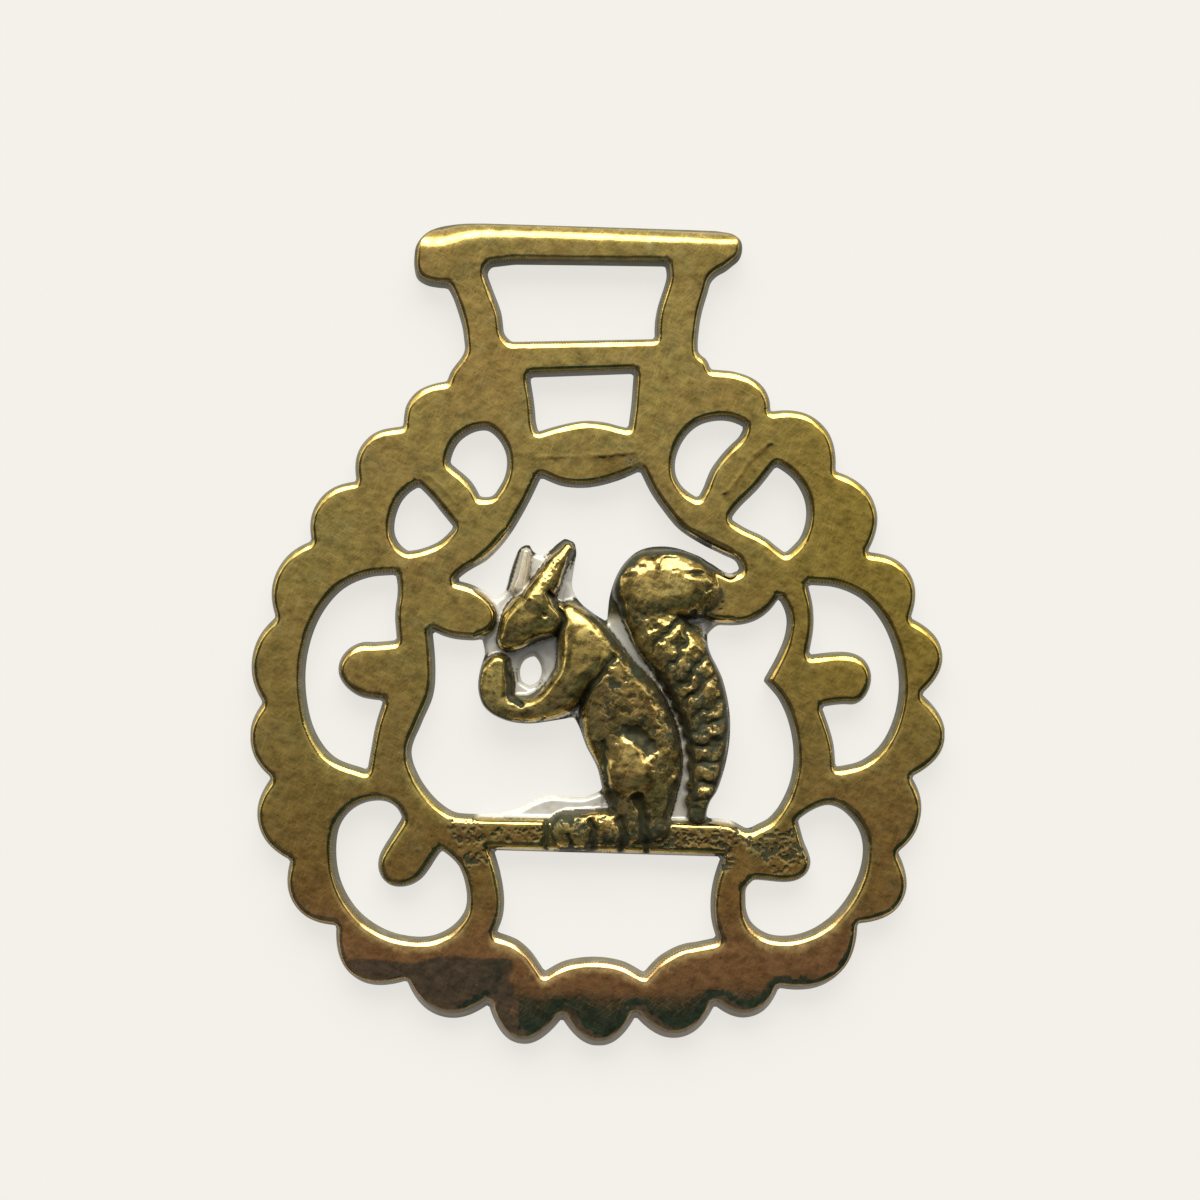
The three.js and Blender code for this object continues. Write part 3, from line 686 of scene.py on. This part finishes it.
# Steps of the grids over the relief, the strap bar, the pits outside the relief, the veins, the face and the
# back, and how far from the outline each grid starts
RELIEF_STEP, RELIEF_START = 0.14, 0.42
BAR_STEP, BAR_START = 0.28, 1.3
PIT_STEP, PIT_START = 0.17, 0.5
VEIN_STEP, VEIN_START = 0.085, 1.05
FACE_STEP, FACE_START = 0.62, 1.45
BACK_STEP, BACK_START = 2.2, 0.9
VEIN_BESIDE, FACE_BESIDE = 0.6, 0.85  # reach of a vein's grid to its sides, and where the face's begins
VEIN_BOX_MARGIN = 0.7
VEIN_LINE_STEPS = 12
NOTCH = 0.3  # nearer to the outline than this, the nearest edge may belong to the other side of a notch
BATCH = 2000
SLIVER = 0.001  # square millimetres


def close(p, q, reach):
    """Whether two points lie nearer to each other than a reach."""
    return (p[0] - q[0]) ** 2 + (p[1] - q[1]) ** 2 < reach**2


def thinned(points, keep, spacing):
    """Indices of the kept points of a closed line that lie at least a spacing apart."""
    chosen = []
    for k in np.flatnonzero(keep):
        if chosen and close(points[k], points[chosen[-1]], spacing):
            continue
        # Where the line closes, its last points stay clear of its first one
        if len(chosen) > 5 and close(points[k], points[chosen[0]], 0.7 * spacing):
            continue
        chosen.append(k)
    return chosen


def in_box(box, points, grow=0.0):
    x, y = points[:, 0], points[:, 1]
    return (x > box[0] - grow) & (x < box[2] + grow) & (y > box[1] - grow) & (y < box[3] + grow)


def grid(box, step):
    """Points of a slightly shaken triangular grid over a box."""
    xs = np.arange(box[0], box[2], step)
    ys = np.arange(box[1], box[3], step * ROW_SHARE)
    x, y = np.meshgrid(xs, ys)
    x = x + (np.arange(len(ys)) % 2 * step / 2)[:, None]
    points = np.stack([x.ravel(), y.ravel()], 1)
    return points + rng.uniform(-SHAKE, SHAKE, points.shape) * step


def beside_points(points, line):
    """How far each point lies from the nearest point of a line."""
    return np.min(np.hypot(*(points[:, None, :] - line[None]).transpose(2, 0, 1)), 1)


def outline_and_rings():
    """Points on the outline, the edges between them, and points on rings at several distances inside it."""
    outline, edges, ring_points = [], [], []
    for loop, normals in zip(dense_loops, dense_normals):
        chosen = thinned(loop, np.ones(len(loop), bool), RING_SPACING)
        start = len(outline)
        outline.extend(loop[chosen])
        edges.extend((start + k, start + (k + 1) % len(chosen)) for k in range(len(chosen)))
        for ring in RINGS:
            moved = loop + ring * normals
            ok = distance(moved) > ring - RING_SLACK
            if ring > RINGS_IN_RELIEF:
                ok &= ~in_box(RELIEF_BOX, moved, -0.5)
            ring_points.extend(moved[thinned(moved, ok, RING_SPACING)])
    return np.array(outline), edges, np.array(ring_points)


def inner_points():
    """Points of the grids inside the rings: fine on the relief, veins and pits, coarse on the flat face."""
    grids = [(grid(RELIEF_BOX, RELIEF_STEP), RELIEF_START), (grid(BAR_BOX, BAR_STEP), BAR_START)]
    vein_lines = []
    for line, *_ in VEINS:
        ends = np.array(line)
        box = (*(ends.min(0) - VEIN_BOX_MARGIN), *(ends.max(0) + VEIN_BOX_MARGIN))
        vein_grid = grid(box, VEIN_STEP)
        vein_lines.append(flat_line(line, VEIN_LINE_STEPS))
        grids.append((vein_grid[beside_points(vein_grid, vein_lines[-1]) < VEIN_BESIDE], VEIN_START))
    pitted = [(cx - hx, cy - hy, cx + hx, cy + hy) for cx, cy, hx, hy, _, _ in PIT_PATCHES]
    left, low_y, right, _ = RELIEF_BOX
    pitted = [box for box in pitted if box[2] > right or box[0] < left or box[1] < low_y]
    for box in pitted:
        pit_grid = grid(box, PIT_STEP)
        grids.append((pit_grid[~in_box(RELIEF_BOX, pit_grid)], PIT_START))
    face_grid = grid((*low, *high), FACE_STEP)
    away = ~in_box(RELIEF_BOX, face_grid) & ~in_box(BAR_BOX, face_grid)
    for line in vein_lines:
        away &= beside_points(face_grid, line) > FACE_BESIDE
    for box in pitted:
        away &= ~in_box(box, face_grid)
    grids.append((face_grid[away], FACE_START))
    return [points[distance(points) > start] for points, start in grids]


outline_points, outline_edges, ring_points = outline_and_rings()
edge_count = len(outline_points)


def inside_outline(places):
    """Whether each place lies inside the outline's straight edges, by how many of them lie to its right."""
    ends = np.array(outline_edges)
    (ax, ay), (bx, by) = outline_points[ends[:, 0]].T, outline_points[ends[:, 1]].T
    slope = (bx - ax) / np.where(by == ay, 1, by - ay)
    inside = np.empty(len(places), bool)
    for k in range(0, len(places), BATCH):
        x, y = places[k : k + BATCH, 0, None], places[k : k + BATCH, 1, None]
        right = ((ay > y) != (by > y)) & (x < ax + (y - ay) * slope)
        inside[k : k + BATCH] = right.sum(1) % 2 == 1
    return inside


def triangles_of(points):
    """Triangles between points, the outline's first, that fill it, counter-clockwise from above."""
    result = delaunay_2d_cdt([Vector(map(float, p)) for p in points], outline_edges, [], 0, 1e-5)
    places = np.array([tuple(v) for v in result[0]])
    source = np.array([o[0] if o else -1 for o in result[3]])
    faces = np.array([f for f in result[2] if len(f) == 3])
    centres = places[faces].mean(1)
    depth = distance(centres)
    kept = depth > 0
    near = np.abs(depth) < NOTCH
    kept[near] = inside_outline(centres[near])
    faces = faces[kept]
    a, b, c = places[faces[:, 0]], places[faces[:, 1]], places[faces[:, 2]]
    area = (b[:, 0] - a[:, 0]) * (c[:, 1] - a[:, 1]) - (b[:, 1] - a[:, 1]) * (c[:, 0] - a[:, 0])
    faces[area < 0] = faces[area < 0][:, ::-1]
    # Slivers along a straight stretch of the outline enclose nothing
    sliver = (source[faces] < edge_count).all(1) & (np.abs(area) < SLIVER)
    faces = source[faces[~sliver]]
    return faces[(faces >= 0).all(1)]


plan = np.vstack([outline_points, ring_points, *inner_points()])
depth, facing = distance(plan, with_facing=True)
top_faces = triangles_of(plan)
height, masks = surface(plan[:, 0], plan[:, 1], depth, facing)
height[:edge_count] = 0
highest = cad_bounds[1][2] / MM
height = np.minimum(height, highest)

# The back shares the outline's points with the top
back_grid = grid((*low, *high), BACK_STEP)
back_grid = back_grid[distance(back_grid) > BACK_START]
back_faces = triangles_of(np.vstack([outline_points, back_grid]))[:, ::-1]
back_faces = np.where(back_faces < edge_count, back_faces, back_faces + len(plan) - edge_count)

points = np.vstack([
    np.column_stack([plan, height]),
    np.column_stack([back_grid, np.zeros(len(back_grid))]),
])
faces = np.vstack([top_faces, back_faces])

mesh = bpy.data.meshes.new("horse_brass_casting")
mesh.from_pydata((points * MM).tolist(), [], faces.tolist())
mesh.validate()
casting = bpy.data.objects.new("horse_brass_casting", mesh)
bpy.context.scene.collection.objects.link(casting)
mesh.polygons.foreach_set("use_smooth", np.ones(len(mesh.polygons), bool))
ends = np.empty(len(mesh.edges) * 2, int)
mesh.edges.foreach_get("vertices", ends)
ends = ends.reshape(-1, 2)
pairs = {tuple(sorted(e)) for e in outline_edges}
sharp = np.array([tuple(sorted(e)) in pairs for e in ends.tolist()])  # the outline at the back
mesh.edges.foreach_set("use_edge_sharp", sharp)

# ---- Where patina stays, in the hollows of the relief at two sizes, and painted shade on its steep flanks ----

HOLLOW_SIZES = [(0.3, 0.22), (0.9, 0.7)]  # reach of the smoothing, and the depth under it that counts as 1
STEEP_SHADE = (0.7, 1.5)  # slopes over which a flank turns dark with painted shade
STEEP_SHADE_SHARE = 1.2


def cavity(x, y):
    """How far each place lies in the relief's hollows, up to 1, with painted shade added on its steep flanks;
    less than 0 on a crest.
    """
    xs = np.arange(RELIEF_BOX[0] - MAP_MARGIN, RELIEF_BOX[2] + MAP_MARGIN, MAP_STEP)
    ys = np.arange(RELIEF_BOX[1] - MAP_MARGIN, RELIEF_BOX[3] + MAP_MARGIN, MAP_STEP)
    grid_x, grid_y = (g.ravel() for g in np.meshgrid(xs, ys, indexing="ij"))
    d, facing = distance(np.stack([grid_x, grid_y], 1), with_facing=True)
    level = surface(grid_x, grid_y, np.maximum(d, 0), facing)[0].reshape(len(xs), len(ys))
    sunk = sum((blurred(level, size) - level) / full for size, full in HOLLOW_SIZES)
    steepness = blurred(np.hypot(*np.gradient(level, MAP_STEP)), 0.1)
    # Painted shade on the steep flanks
    sunk = np.clip(sunk, -1, 1) + STEEP_SHADE_SHARE * smoothstep(*STEEP_SHADE, steepness)
    u, v = on_map(sunk, (xs[0], ys[0]), x, y)
    values = np.clip(sunk, -0.5, 1)[np.round(u).astype(int), np.round(v).astype(int)]
    return values * box_share(RELIEF_BOX, x, y, 1.0)


def store(name, values, on_back=0.0):
    """Keeps a value for each point of the top on the mesh, and one value for the points of the back."""
    layer = mesh.attributes.new(name, "FLOAT", "POINT")
    layer.data.foreach_set("value", np.append(values, np.full(len(back_grid), on_back)).astype(np.float32))


for name, values in masks.items():
    store(name, values)
store("hollow_and_flank_shade", cavity(plan[:, 0], plan[:, 1]))
store("back", np.zeros(len(plan)), 1.0)

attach(casting, "root")
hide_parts("horse_brass")

# ---- Shader nodes ----


class Nodes:
    """Makes shader nodes in a tree. A value may be a number, a colour or another node's output."""

    def __init__(self, tree):
        self.tree = tree
        tree.nodes.clear()

    def make(self, kind, inputs=None, **settings):
        made = self.tree.nodes.new(kind)
        for name, value in settings.items():
            setattr(made, name, value)
        for name, value in (inputs or {}).items():
            self.put(made.inputs[name], value)
        return made

    def put(self, socket, value):
        if isinstance(value, bpy.types.NodeSocket):
            self.tree.links.new(value, socket)
        else:
            socket.default_value = value

    def math(self, operation, a, b=0.0, clamp=False):
        return self.make("ShaderNodeMath", {0: a, 1: b}, operation=operation, use_clamp=clamp).outputs[0]

    def add(self, value, mask, amount, clamp=False):
        """A value and an amount of a mask. A negative amount takes it away."""
        return self.math("ADD", value, self.math("MULTIPLY", mask, amount), clamp)

    def span(self, value, low, high, to_low=0.0, to_high=1.0, soft=True):
        """A value's way from low to high, as the way from to_low to to_high, and no further."""
        kind = "SMOOTHSTEP" if soft else "LINEAR"
        inputs = {"Value": value, "From Min": low, "From Max": high, "To Min": to_low, "To Max": to_high}
        return self.make("ShaderNodeMapRange", inputs, interpolation_type=kind).outputs[0]

    def mix(self, share, a, b, blend="MIX"):
        made = self.make("ShaderNodeMix", data_type="RGBA", blend_type=blend)
        self.put(made.inputs[0], share)
        self.put(made.inputs[6], a)
        self.put(made.inputs[7], b)
        return made.outputs[2]

    def noise(self, place, scale, detail, roughness=0.5):
        inputs = {"Vector": place, "Scale": scale, "Detail": detail, "Roughness": roughness}
        return self.make("ShaderNodeTexNoise", inputs).outputs[0]

    def mapped(self, place, turn=0.0, stretch=(1, 1, 1)):
        inputs = {"Vector": place, "Rotation": (0, 0, turn), "Scale": stretch}
        return self.make("ShaderNodeMapping", inputs).outputs[0]

    def attribute(self, name):
        return self.make("ShaderNodeAttribute", attribute_name=name).outputs["Fac"]

    def grey(self, value):
        return self.make("ShaderNodeCombineColor", {0: value, 1: value, 2: value}).outputs[0]

    def show(self, shader, kind):
        """Makes a shader the tree's result."""
        self.tree.links.new(shader.outputs[0], self.make(kind).inputs[0])


# ---- Aged brass ----

BRASS = (0.44, 0.325, 0.088, 1)
BRASS_RED = (0.45, 0.300, 0.085, 1)
BRASS_GREEN = (0.40, 0.320, 0.108, 1)
BRASS_YELLOW = (0.40, 0.280, 0.050, 1)
BRASS_BROWN_REFLECTION = (0.50, 0.315, 0.120, 1)
BRASS_STAINED = (0.29, 0.190, 0.070, 1)
PATINA_AND_SHADE = (0.017, 0.017, 0.009, 1)
PATINA_AND_SHADE_GREEN = (0.019, 0.028, 0.019, 1)
WEB_FLOOR_REFLECTION = (0.56, 0.53, 0.45, 1)
# Walls: dark with patina and painted shade, and pale with painted light from the floor
WALL_PATINA_AND_SHADE = (0.060, 0.062, 0.038, 1)
WALL_FLOOR_LIGHT = (0.24, 0.215, 0.170, 1)

YELLOW_X, YELLOW_Y = (8 * MM, 30 * MM), (-16 * MM, 0.0)  # where the metal turns yellow to the right and up
BROWN_REFLECTION_Y = (-26 * MM, -36 * MM)  # where it turns brown towards the lowest lobes, a painted reflection of the dim room towards -Y
SCRATCH_TURNS = (0.5, -0.7, 1.9)  # directions of the fine scratches, in radians
SCRATCH_STRETCH = (1, 22, 1)

brass = bpy.data.materials.new("aged_brass")
brass.use_nodes = True
n = Nodes(brass.node_tree)
place = n.make("ShaderNodeTexCoord").outputs["Object"]
web_in, dark_in, hollow_and_shade_in = n.attribute("web"), n.attribute("dark"), n.attribute("hollow_and_flank_shade")
wall, carved, back_in = n.attribute("wall"), n.attribute("carved"), n.attribute("back")
floor_lit_wall, worn, tarnish = n.attribute("floor_lit_wall"), n.attribute("worn"), n.attribute("tarnish")

# Variations of three sizes, and fine scratches
slow = n.noise(place, 90, 2)
patchy = n.noise(place, 420, 4, 0.6)
fine = n.noise(place, 2600, 3, 0.6)
scratches = 0.0
for turn in SCRATCH_TURNS:
    turned = n.mapped(n.mapped(place, turn), 0.0, SCRATCH_STRETCH)
    scratches = n.math("ADD", scratches, n.span(n.noise(turned, 330, 2), 0.57, 0.68))

# Colour of the metal from place to place
colour = n.mix(n.span(slow, 0.35, 0.7), BRASS, BRASS_RED)
colour = n.mix(n.span(patchy, 0.45, 0.75, 0, 0.7), colour, BRASS_GREEN)
spot = n.make("ShaderNodeSeparateXYZ", {0: place})
to_right, upwards = n.span(spot.outputs[0], *YELLOW_X, 0.0, 0.8), n.span(spot.outputs[1], *YELLOW_Y)
colour = n.mix(n.math("MULTIPLY", to_right, upwards), colour, BRASS_YELLOW)
# Painted reflection: brown towards the lowest lobes
colour = n.mix(n.span(spot.outputs[1], *BROWN_REFLECTION_Y), colour, BRASS_BROWN_REFLECTION)
stain = n.math("MULTIPLY", tarnish, n.span(carved, 0.0, 1.0, 0.6, 0.2, False))
colour = n.mix(stain, colour, BRASS_STAINED)
# Cloudy tarnish with fine dark specks, and the paler scratches
clouds = n.noise(n.mapped(place, 0.4, (1, 1.6, 1)), 800, 5, 0.65)
tone = n.span(clouds, 0.34, 0.66, 0.66, 1.32, False)
tone = n.math("SUBTRACT", tone, n.math("MULTIPLY", carved, n.span(clouds, 0.35, 0.65, 0.44, 0.12)))
speckle = n.noise(place, 5200, 2, 0.5)
tone = n.math("SUBTRACT", tone, n.span(speckle, 0.63, 0.71, 0.0, 0.42))
tone = n.add(tone, scratches, 0.28)
colour = n.mix(1.0, colour, n.grey(tone), "MULTIPLY")

# Dark patina in the hollows, with painted shade on steep flanks, in gaps of fur and at limbs' feet; walls of
# patina and painted shade, with painted floor light; and the pale grey web, a painted reflection of the pale
# floor
dirt_and_shade = n.add(n.math("MULTIPLY", hollow_and_shade_in, 0.7), dark_in, 0.6)
dirt_and_shade = n.math("ADD", dirt_and_shade, n.span(patchy, 0.3, 0.7, -0.22, 0.22, False))
dirt_and_shade = n.math("ADD", dirt_and_shade, n.span(fine, 0.3, 0.7, -0.12, 0.12, False))
specks = n.span(n.noise(place, 1900, 3, 0.6), 0.58, 0.68)
dirt_and_shade = n.add(dirt_and_shade, n.math("MULTIPLY", specks, carved), 0.40)
dirty_and_shaded = n.math("MULTIPLY", n.span(dirt_and_shade, 0.16, 0.50), n.math("SUBTRACT", 1.0, web_in))
patina_and_shade_colour = n.mix(n.span(patchy, 0.35, 0.65), PATINA_AND_SHADE, PATINA_AND_SHADE_GREEN)
# The walls' dark colour is patina and painted shade; their pale patches, and the walls under the lowest lobes,
# are painted light from the floor
patched_wall = n.mix(n.span(patchy, 0.50, 0.66, 0.0, 0.3), WALL_PATINA_AND_SHADE, WALL_FLOOR_LIGHT)
colour = n.mix(n.math("MULTIPLY", wall, 0.9), colour, n.mix(floor_lit_wall, patched_wall, WALL_FLOOR_LIGHT))
# Patina where there is dirt, and painted shade in the same colour
colour = n.mix(n.math("MULTIPLY", dirty_and_shaded, 0.92), colour, patina_and_shade_colour)
# The web's pale grey is a painted reflection of the pale floor
webbed = n.math("MULTIPLY", web_in, n.span(patchy, 0.25, 0.5, 0.8, 1.0))
colour = n.mix(webbed, colour, WEB_FLOOR_REFLECTION)

roughness = n.span(patchy, 0.4, 0.8, 0.020, 0.045, False)
roughness = n.add(roughness, carved, n.span(patchy, 0.35, 0.65, 0.05, 0.18))
for mask, amount in ((scratches, 0.02), (worn, 0.22), (dirty_and_shaded, 0.30), (wall, 0.30), (webbed, 0.34)):
    roughness = n.add(roughness, mask, amount)
roughness = n.add(roughness, back_in, 0.25, True)
metal = n.add(1.0, dirty_and_shaded, -0.75)
metal = n.add(metal, carved, -0.15)
metal = n.math("SUBTRACT", metal, wall)
metal = n.add(metal, webbed, -0.7, True)
shine = n.span(n.math("ADD", wall, dirty_and_shaded), 0.0, 1.0, 0.5, 0.04, False)

# Bumps too fine for the mesh, deeper on the carving and on the worn bar than on the flat face
FACE_BUMPS, CARVED_BUMPS = 0.008 * MM, 0.05 * MM
bumps = n.add(n.math("MULTIPLY", patchy, 0.10), fine, 0.03)
bumps = n.add(bumps, scratches, -0.012)
bump_depth = n.span(n.math("MAXIMUM", carved, worn), 0.0, 1.0, FACE_BUMPS, CARVED_BUMPS, False)
bump = n.make("ShaderNodeBump", {"Height": bumps, "Strength": 1.0, "Distance": bump_depth}).outputs[0]
skin = n.make("ShaderNodeBsdfPrincipled", {
    "Base Color": colour, "Metallic": metal, "Roughness": roughness, "Normal": bump,
    "Specular IOR Level": shine,
})
n.show(skin, "ShaderNodeOutputMaterial")
mesh.materials.append(brass)

# ---- Floor, light and camera ----

HALF_FLOOR = 600 * MM
FLOOR_Z = -0.02 * MM  # just under the brass's back
PAPER, PAPER_GLOW = (0.11, 0.107, 0.100, 1), (1.0, 0.975, 0.915, 1)
floor_mesh = bpy.data.meshes.new("floor")
corners = [(x * HALF_FLOOR, y * HALF_FLOOR, FLOOR_Z) for x, y in ((-1, -1), (1, -1), (1, 1), (-1, 1))]
floor_mesh.from_pydata(corners, [], [(0, 1, 2, 3)])
floor = bpy.data.objects.new("floor", floor_mesh)
bpy.context.scene.collection.objects.link(floor)
paper = bpy.data.materials.new("floor_paper")
paper.use_nodes = True
f = Nodes(paper.node_tree)
paper_skin = f.make("ShaderNodeBsdfPrincipled", {
    "Base Color": PAPER, "Roughness": 0.9, "Specular IOR Level": 0.1,
    "Emission Color": PAPER_GLOW, "Emission Strength": 0.75,
})
f.show(paper_skin, "ShaderNodeOutputMaterial")
floor_mesh.materials.append(paper)

# The room's light depends on the angle from straight up: a wide soft window towards +Y, a pale ceiling, and a
# dim room towards -Y, with the dark shape of a viewer who leans over the brass
SKY_STRENGTH = 10.0
SKY = [  # degrees from straight up towards +Y, and the light there
    (-90, (0.36, 0.34, 0.30)), (-60, (0.20, 0.19, 0.16)), (-25, (0.12, 0.11, 0.10)),
    (-12, (0.12, 0.10, 0.10)), (-6, (0.26, 0.200, 0.205)), (-4, (0.30, 0.25, 0.25)),
    (-2, (0.38, 0.37, 0.36)), (0, (0.45, 0.45, 0.45)), (5, (0.60, 0.60, 0.62)),
    (14, (0.65, 0.65, 0.65)), (30, (0.7, 0.7, 0.7)),
    (38, (9, 9, 9)), (66, (9, 9, 9)), (76, (1.5, 1.5, 1.5)), (90, (0.5, 0.5, 0.5)),
]
# Edges of the viewer's shape, as Y over Z of the way there: a sharp one, and one that fades into the room
VIEWER_EDGE, VIEWER_FOOT = (-0.1085, -0.1065), (-1.6, -0.8)
VIEWER_SIDE = (-0.030, -0.022)  # X of the way at which the shape turns from brown to teal
# Colours of the shape, as shares of SKY_STRENGTH, which look teal and brown in the brass
VIEWER_TEAL = (0.0036, 0.0078, 0.0120, 1)
VIEWER_BROWN = (0.0106, 0.0120, 0.0190, 1)
# X of the way between which the light falls off to the right and to the left, and what is left of it there
RIGHT_FALL, LEFT_FALL, FALL_LEFT_OVER = (0.34, 0.62), (-0.30, -0.60), 0.2
world = bpy.data.worlds.new("room")
bpy.context.scene.world = world
world.use_nodes = True
w = Nodes(world.node_tree)
way = w.make("ShaderNodeSeparateXYZ", {0: w.make("ShaderNodeTexCoord").outputs["Generated"]})
lean = w.math("ARCTAN2", way.outputs[1], way.outputs[2])
ramp = w.make("ShaderNodeValToRGB", {0: w.span(lean, -math.pi / 2, math.pi / 2, soft=False)})
band = ramp.color_ramp
band.elements[0].position, band.elements[1].position = 0, 1
for degrees, _ in SKY[1:-1]:
    band.elements.new((degrees + 90) / 180)
for stop, (_, light) in zip(band.elements, SKY):
    stop.color = (*(v / SKY_STRENGTH for v in light), 1)
to_right = w.span(way.outputs[0], *RIGHT_FALL, 1.0, FALL_LEFT_OVER)
to_left = w.span(way.outputs[0], *LEFT_FALL, 1.0, FALL_LEFT_OVER)
light = w.mix(1.0, ramp.outputs[0], w.math("MULTIPLY", to_right, to_left), "MULTIPLY")
rise = w.math("DIVIDE", way.outputs[1], w.math("MAXIMUM", way.outputs[2], 0.05))
viewer = w.mix(w.span(way.outputs[0], *VIEWER_SIDE), VIEWER_BROWN, VIEWER_TEAL)
shown = w.math("MULTIPLY", w.span(rise, *VIEWER_EDGE, 1.0, 0.0), w.span(rise, *VIEWER_FOOT))
light = w.mix(shown, light, viewer)
w.show(w.make("ShaderNodeBackground", {"Color": light, "Strength": SKY_STRENGTH}), "ShaderNodeOutputWorld")

CAMERA_AT = (0.27, 3.76, 400)
ACROSS = 130.8  # width of what the camera sees at the floor
SENSOR = 36
camera_data = bpy.data.cameras.new("camera")
camera_data.sensor_width = SENSOR
camera_data.lens = SENSOR * CAMERA_AT[2] / ACROSS
camera_data.clip_start = 10 * MM
camera = bpy.data.objects.new("camera", camera_data)
camera.location = [v * MM for v in CAMERA_AT]
bpy.context.scene.collection.objects.link(camera)
bpy.context.scene.camera = camera
bpy.context.scene.view_settings.view_transform = "Standard"
